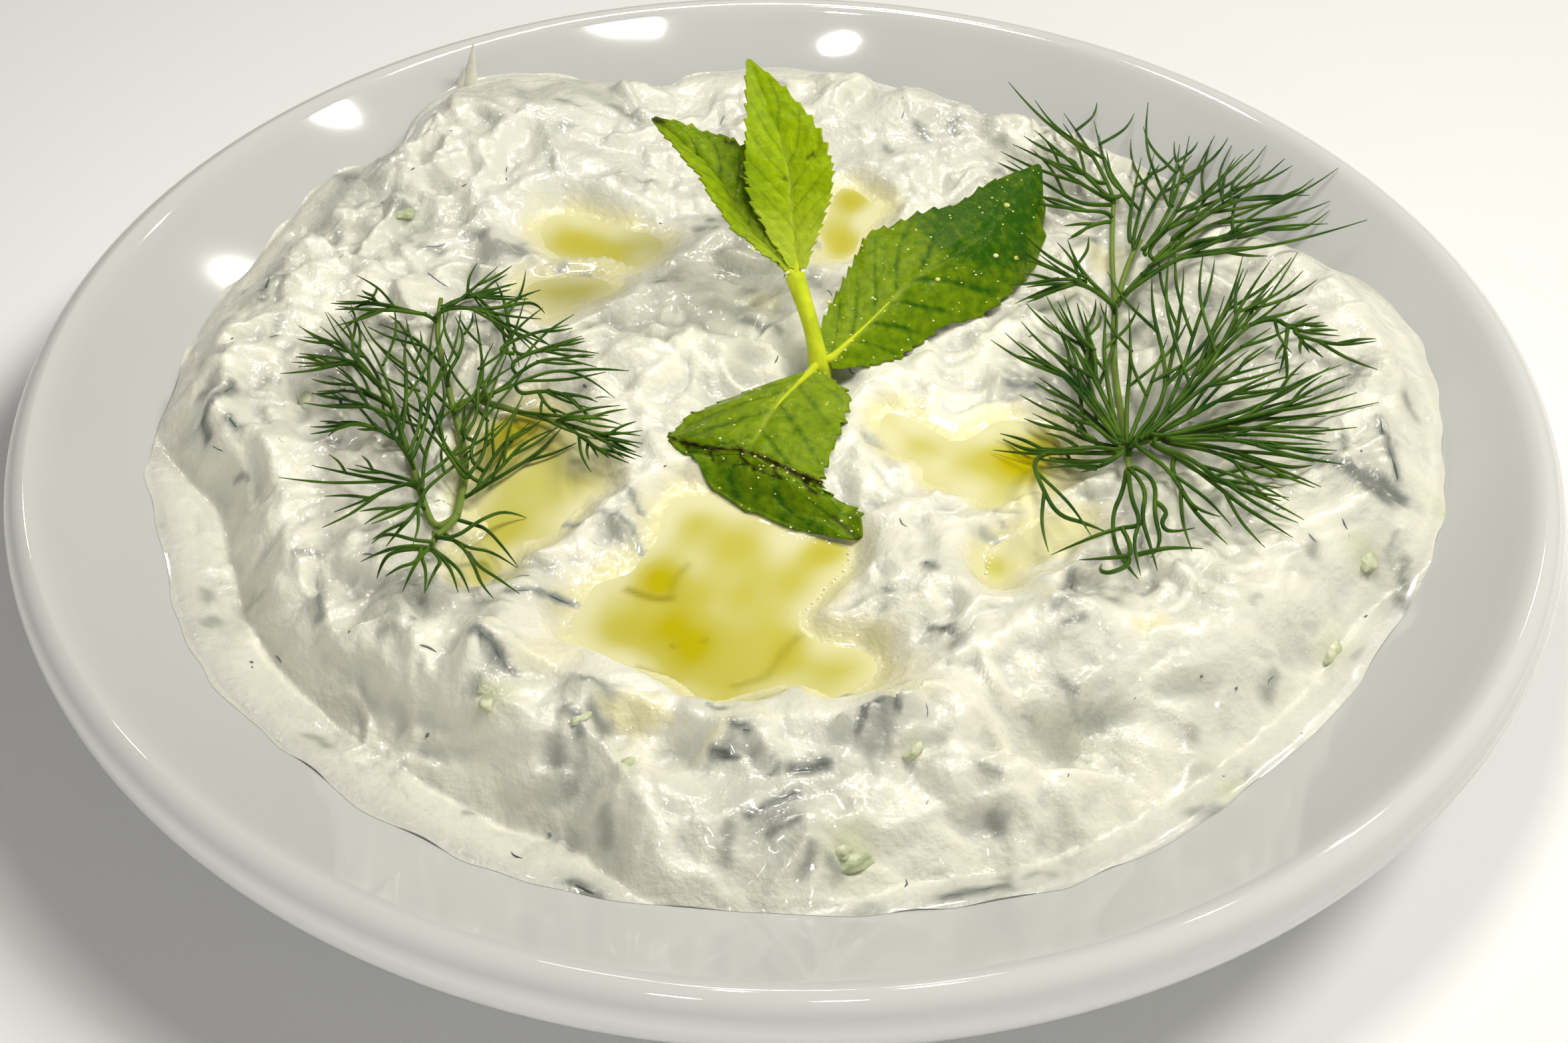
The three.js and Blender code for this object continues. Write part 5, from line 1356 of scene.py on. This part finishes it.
# needles that part from a branch and run on beside it
def addForks(curve, draw, points, count, thick):
    lengths = np.linalg.norm(np.diff(points, axis=0), axis=1)
    total = lengths.sum()
    stops = np.concatenate([[0], np.cumsum(lengths)]) / total
    side = draw.choice((-1, 1))
    for fork in range(count):
        share = dill["forkFrom"] + dill["forkSpan"] * (fork + draw.uniform(0.1, 0.9)) / count
        start, ahead = (np.array([np.interp(min(place, 1), stops, points[:, axis]) for axis in range(3)])
                        for place in (share, share + 0.15))
        run = ahead - start
        side = -side
        lean = side * math.radians(draw.uniform(*dill["forkLean"]))
        heading = math.atan2(run[1], run[0])
        rise = run[2] / max(math.hypot(run[0], run[1]), 0.1) * 0.6
        step = total * (1.05 - share) * draw.uniform(*dill["forkStep"])
        way = [start]
        for ease in (1.0, 0.75, 0.35):
            turn = heading + ease * lean
            way.append(way[-1] + step * np.array([math.cos(turn), math.sin(turn), rise]))
        way = np.array(way)
        way[:, 2] = np.maximum(way[:, 2], bareHeight(way[:, 0], way[:, 1]) + dill["forkClear"])
        drawnTube(curve, way, [thick, thick, 0.85 * thick, dill["tipRadius"]])


def dillLook():
    look, tree, shader = newMaterial("dill", Specular_IOR_Level=0.2, Specular_Tint=(0.8, 0.9, 0.4, 1))
    stemMask = paintMasks(tree, "dillPaint")[0]
    colour = mixColour(tree, addCloud(tree, dill["toneSize"]), dill["colour"], dill["light"])
    finishLook(tree, shader, mixColour(tree, stemMask, colour, dill["stem"]), *dill["wet"])
    return look


def addDill():
    look = dillLook()
    for name, sprig in dillSprigs.items():
        draw = random.Random(sprig["seed"])
        stems, needles, made = newThreads("stems", 2), newThreads("needles", 1), []
        for drawn in sprig["stems"]:
            points = sprigPoints(sprig, drawn, np.linspace(*dill["stemLift"], len(drawn)))
            points = joined(points, made) if made else points
            radii = dill["stemRadius"] * np.linspace(1, dill["stemTaper"], len(points))
            drawnTube(stems, points, radii)
            made.append(smoothCurve(points, np.linspace(0, 1, 8 * len(points))))
        for drawn in sprig["branches"]:
            shares = np.linspace(0, 1, len(drawn))
            arch = dill["arch"] * draw.uniform(0.4, 1.5)
            lifts = dill["lift"] + 0.8 * (1 - shares) + arch * np.sin(math.pi * (0.2 + 0.75 * shares))
            points = joined(sprigPoints(sprig, drawn, lifts), made)
            radii = sprig["thick"] * dill["branchRadius"] * (1 - 0.25 * np.linspace(0, 1, len(points)))
            radii[-1] = dill["tipRadius"]
            drawnTube(needles, points, radii)
            if drawn[0][1] < sprig["bareFrom"]:
                addForks(needles, draw, points, sprig["forks"], sprig["thick"] * dill["forkRadius"])
            made.append(smoothCurve(points, np.linspace(0, 0.6, 3 * len(points))))
        bm = bmesh.new()
        bm.from_mesh(threadMesh(stems, "stems"))
        stemCount = len(bm.verts)
        bm.from_mesh(threadMesh(needles, "needles"))
        mesh = meshFrom(bm, name + "_sprig")
        paint(mesh, "dillPaint", (np.arange(len(mesh.vertices)) < stemCount) * dill["stemShare"])
        makePiece(name + "_sprig", mesh, look, "dill", name)
    print("dill laid")


leafAcross, leafDown = toPhoto(leafPoints)
addDill()

# chopped herb in the skin: threads along the herb paths, seeded ones, and dots at listed places on the
# picture
chopped = {"seed": 19, "count": 110, "length": (1.0, 3.6), "radius": (0.08, 0.15), "sink": 0.14, "wave": 0.35,
           "dark": (0.05, 0.07, 0.06), "pale": (0.24, 0.28, 0.27), "dotRadius": (0.16, 0.28), "dotSink": 0.08,
           "reach": 80, "bend": 0.8, "steps": 2, "clearOfOil": 1.5, "plain": 0.7, "toneSize": 5,
           "wet": (0.7, 0.2, 0.5, 0.03)}
herbDots = [
    (376, 996), (378, 1004), (644, 1104), (827, 1253), (526, 949), (348, 509), (1806, 1016), (1858, 1034),
    (1957, 1103), (1841, 1168), (2054, 927), (677, 197), (1394, 847), (1402, 852), (576, 305), (2046, 677),
    (1415, 700), (1000, 700), (880, 580)]


def addThread(curve, flat, radius, draw):          # a thread that dips in and out of the skin
    flat = smoothCurve(flat, np.linspace(0, 1, 7))
    shift = draw.uniform(0, 6)
    bob = chopped["wave"] * np.array([noise.noise((x / 2, y / 2, shift)) for x, y in flat])
    height = skinHeight(flat[:, 0], flat[:, 1]) - chopped["sink"] + bob
    radii = radius * np.array([0.4, 0.85, 1, 1, 1, 0.85, 0.4])
    drawnTube(curve, np.column_stack([flat, height]), radii)


def addHerbs():
    draw = random.Random(chopped["seed"])
    curve = newThreads("chopped herb", 1)
    for path, half, strength in sunkHerbs:
        if strength > chopped["plain"]:
            addThread(curve, onDip(path, 0.0, skinHeight)[:, :2], 0.1 + 0.1 * half, draw)
    for _ in range(chopped["count"]):
        radius, angle = chopped["reach"] * math.sqrt(draw.random()), draw.uniform(0, 2 * math.pi)
        heading, bend = draw.uniform(0, 2 * math.pi), draw.uniform(-chopped["bend"], chopped["bend"])
        length, thick = draw.uniform(*chopped["length"]), draw.uniform(*chopped["radius"])
        way = bentPath(onDisc(radius, angle), heading, bend, length / chopped["steps"], chopped["steps"])
        toOil = [outlineDistance(*np.array(way).T, pool["shape"]).min() for pool in oilPools.values()]
        if min(toOil) > chopped["clearOfOil"]:
            addThread(curve, way, thick, draw)
    mesh = threadMesh(curve, "chopped_herb")
    bm = bmesh.new()
    bm.from_mesh(mesh)
    for point in onDip(herbDots, -chopped["dotSink"], skinHeight):
        radius = draw.uniform(*chopped["dotRadius"])
        turn = Matrix.Rotation(draw.uniform(0, math.pi), 4, "Z")
        size = Matrix.Diagonal((1.8 * radius * mm, radius * mm, 0.6 * radius * mm, 1))
        place = Matrix.Translation(Vector(point) * mm)
        bmesh.ops.create_icosphere(bm, subdivisions=2, radius=1.0, matrix=place @ turn @ size)
    bm.to_mesh(mesh)
    bm.free()
    look, tree, shader = newMaterial("chopped herb", Specular_IOR_Level=0.35)
    colour = mixColour(tree, addCloud(tree, chopped["toneSize"]), chopped["dark"], chopped["pale"])
    finishLook(tree, shader, colour, *chopped["wet"])
    makePiece("chopped_herb", mesh, look, "dill")
    print("chopped herb laid")


addHerbs()

# cucumber bits sunk in the skin: pixel, half sizes in mm, heading
cucumber = {"seed": 8, "sink": 0.62, "scale": 1.6, "uneven": 0.3, "rough": 0.06, "flesh": (0.66, 0.68, 0.47),
            "skin": (0.38, 0.44, 0.24), "tilt": 0.3, "flat": 0.55, "unevenFineness": 1.4,
            "roughFineness": 4.5, "toneSize": 1.6, "wet": (0.8, 0.1, 0.35, 0.05)}
cucumberBits = [
    (1278, 1282, 1.9, 1.2, 20), (1262, 1270, 1.0, 0.7, 120), (1854, 1186, 1.7, 0.7, 30),
    (745, 1047, 1.5, 1.0, 70), (732, 1030, 0.8, 0.6, 10), (2052, 832, 1.4, 0.9, 100),
    (2169, 769, 1.3, 0.8, 80), (941, 1150, 1.2, 0.6, 80), (1372, 1120, 1.0, 0.7, 60),
    (545, 286, 1.2, 0.7, 30), (603, 315, 1.2, 0.7, 0), (2002, 967, 1.6, 1.0, 80), (870, 1075, 0.9, 0.5, 40),
    (1500, 866, 1.6, 0.9, 60), (467, 590, 1.4, 0.9, 70)]


def addCucumber():
    draw = random.Random(cucumber["seed"])
    bm = bmesh.new()
    places = onDip([bit[:2] for bit in cucumberBits], 0.0, skinHeight)
    for point, (_, _, long, wide, heading) in zip(places, cucumberBits):
        long, wide = cucumber["scale"] * long, cucumber["scale"] * wide
        turn = Matrix.Rotation(math.radians(heading), 4, "Z")
        turn = turn @ Matrix.Rotation(draw.uniform(-cucumber["tilt"], cucumber["tilt"]), 4, "X")
        bit = bmesh.ops.create_icosphere(bm, subdivisions=4, radius=1.0)["verts"]
        shift = draw.uniform(0, 9)
        for vert in bit:
            place = vert.co + Vector((shift, 0, 0))
            swelling = cucumber["uneven"] * noise.noise(place * cucumber["unevenFineness"])
            vert.co *= 1 + swelling + cucumber["rough"] * noise.noise(place * cucumber["roughFineness"])
        size = Matrix.Diagonal((long * mm, wide * mm, cucumber["flat"] * wide * mm, 1))
        place = Matrix.Translation((Vector(point) - Vector((0, 0, cucumber["sink"] * wide))) * mm)
        bmesh.ops.transform(bm, matrix=place @ turn @ size, verts=bit)
    look, tree, shader = newMaterial("cucumber", Specular_IOR_Level=0.5)
    colour = mixColour(tree, addCloud(tree, cucumber["toneSize"]), cucumber["flesh"], cucumber["skin"])
    finishLook(tree, shader, colour, *cucumber["wet"])
    makePiece("cucumber_bits", meshFrom(bm, "cucumber_bits"), look, "dip")
    print("cucumber bits:", len(cucumberBits))


addCucumber()

# tips pulled up at the back: pixels of foot and tip, radius in mm
pulledTips = [((704, 132), (711, 64), 1.5), ((692, 132), (698, 100), 1.2)]


def addTips():
    curve = newThreads("tips", 3)
    for footPixel, tipPixel, radius in pulledTips:
        foot = onDip([footPixel], -1.0, skinHeight)[0]
        ray = pixelRay([tipPixel])[0]
        tip = viewPoint + ray * (foot[1] - viewPoint[1]) / ray[1]
        middle = foot + 0.5 * (tip - foot) + np.array([0.25, 0.1, 0])
        drawnTube(curve, [foot, middle, tip], [radius, 0.45 * radius, 0.06])
    mesh = threadMesh(curve, "pulled_tips")
    paint(mesh, "mixedInAndShade", 0, 0, 0, 0.22)
    makePiece("pulled_tips", mesh, dipSkin, "dip")
    print("tips pulled:", len(pulledTips))


addTips()

# floor and light
backdrop = {"reach": 2.5, "cells": 8, "colour": (0.98, 0.98, 0.98, 1), "roughness": 0.8,
            "sky": (1.0, 0.985, 0.94, 1), "skyStrength": 0.13, "aim": (0, 0, 0.015)}


def addFloor():
    bm = bmesh.new()
    cells = backdrop["cells"]
    bmesh.ops.create_grid(bm, x_segments=cells, y_segments=cells, size=backdrop["reach"])
    mesh = meshFrom(bm, "floor")
    look = newMaterial("pale floor", Base_Color=backdrop["colour"], Roughness=backdrop["roughness"])[0]
    mesh.materials.append(look)
    floor = bpy.data.objects.new("floor", mesh)
    scene.collection.objects.link(floor)


studio = {          # place in m, size in m, power in W, colour
    "side softbox": ((0.66, 0.3, 0.8), (0.42, 0.38), 7.4, (1.0, 0.97, 0.9)),
    "near top": ((0.03, 0.0, 0.2), (0.08, 0.07), 0.2, (1.0, 0.97, 0.9)),
    "front fill": ((-0.45, -0.95, 0.4), (1.2, 0.5), 3.4, (1.0, 0.98, 0.95)),
    "low front": ((0.0, -0.9, 0.04), (1.6, 0.3), 2.2, (1.0, 0.98, 0.95)),
}
# small lamps, set where the glaze mirrors them at these pixels: size in m, power in W
lamps = {"distance": 0.75, "colour": (1.0, 0.95, 0.86), "spots": [
    ((940, 36), (0.015, 0.042), 0.5), ((1262, 66), (0.024, 0.017), 0.45), ((495, 165), (0.022, 0.026), 0.4),
    ((350, 410), (0.008, 0.006), 0.2)],
    "around": [(-44, 50), (-36, 40), (-12, 60), (-6, 66), (1, 61), (12, 62), (34, 42), (44, 54),
               (168, 64), (196, 58)],          # degrees from the back to the right, and up
    "aroundSize": (0.06, 0.03), "aroundPower": 0.27, "aroundDistance": 0.8}


def onGlaze(pixel):          # where a pixel's ray meets the inside wall, and the mirrored way out
    ray = pixelRay([pixel])[0]
    ray = ray / np.linalg.norm(ray)
    height = 15.0
    for _ in range(30):
        point = viewPoint + ray * (height - viewPoint[2]) / ray[2]
        height += 0.5 * (float(wallHeight(math.hypot(point[0], point[1]))) - height)
    radius = math.hypot(point[0], point[1])
    slope = float(wallHeight(radius + 0.2) - wallHeight(radius - 0.2)) / 0.4
    normal = np.array([-slope * point[0] / radius, -slope * point[1] / radius, 1.0])
    normal = normal / np.linalg.norm(normal)
    return point * mm, ray - 2 * (ray @ normal) * normal


def addLamp(name, place, aim, size, power, colour):
    lamp = bpy.data.lights.new(name, "AREA")
    lamp.shape = "ELLIPSE"
    lamp.size, lamp.size_y = size
    lamp.energy, lamp.color = power, colour
    light = bpy.data.objects.new(name, lamp)
    turn = (Vector(aim) - Vector(place)).to_track_quat("-Z", "Y").to_matrix().to_4x4()
    light.matrix_world = Matrix.Translation(place) @ turn
    scene.collection.objects.link(light)
    return light


def addLights():
    for name, (place, size, power, colour) in studio.items():
        light = addLamp(name, place, backdrop["aim"], size, power, colour)
        light.visible_glossy = False          # lights without showing in the glaze and the oil
    for pixel, size, power in lamps["spots"]:
        point, way = onGlaze(pixel)
        place = Vector(point + way * lamps["distance"])
        light = addLamp("lamp", place, Vector(point), size, power, lamps["colour"])
        light.visible_diffuse = False          # only a glint
    for heading, height in lamps["around"]:
        heading, height = math.radians(heading), math.radians(height)
        level = math.cos(height)
        way = Vector((math.sin(heading) * level, math.cos(heading) * level, math.sin(height)))
        place = way * lamps["aroundDistance"]
        light = addLamp("lamp", place, backdrop["aim"], lamps["aroundSize"], lamps["aroundPower"],
                        lamps["colour"])
        light.visible_diffuse = False
    world = bpy.data.worlds.new("studio")
    world.use_nodes = True
    sky = world.node_tree.nodes["Background"]
    sky.inputs["Color"].default_value = backdrop["sky"]
    sky.inputs["Strength"].default_value = backdrop["skyStrength"]
    scene.world = world
    scene.view_settings.view_transform = "Standard"
    print("lights set:", len(studio) + len(lamps["spots"]) + len(lamps["around"]))


addFloor()
addLights()

print("scene ready")
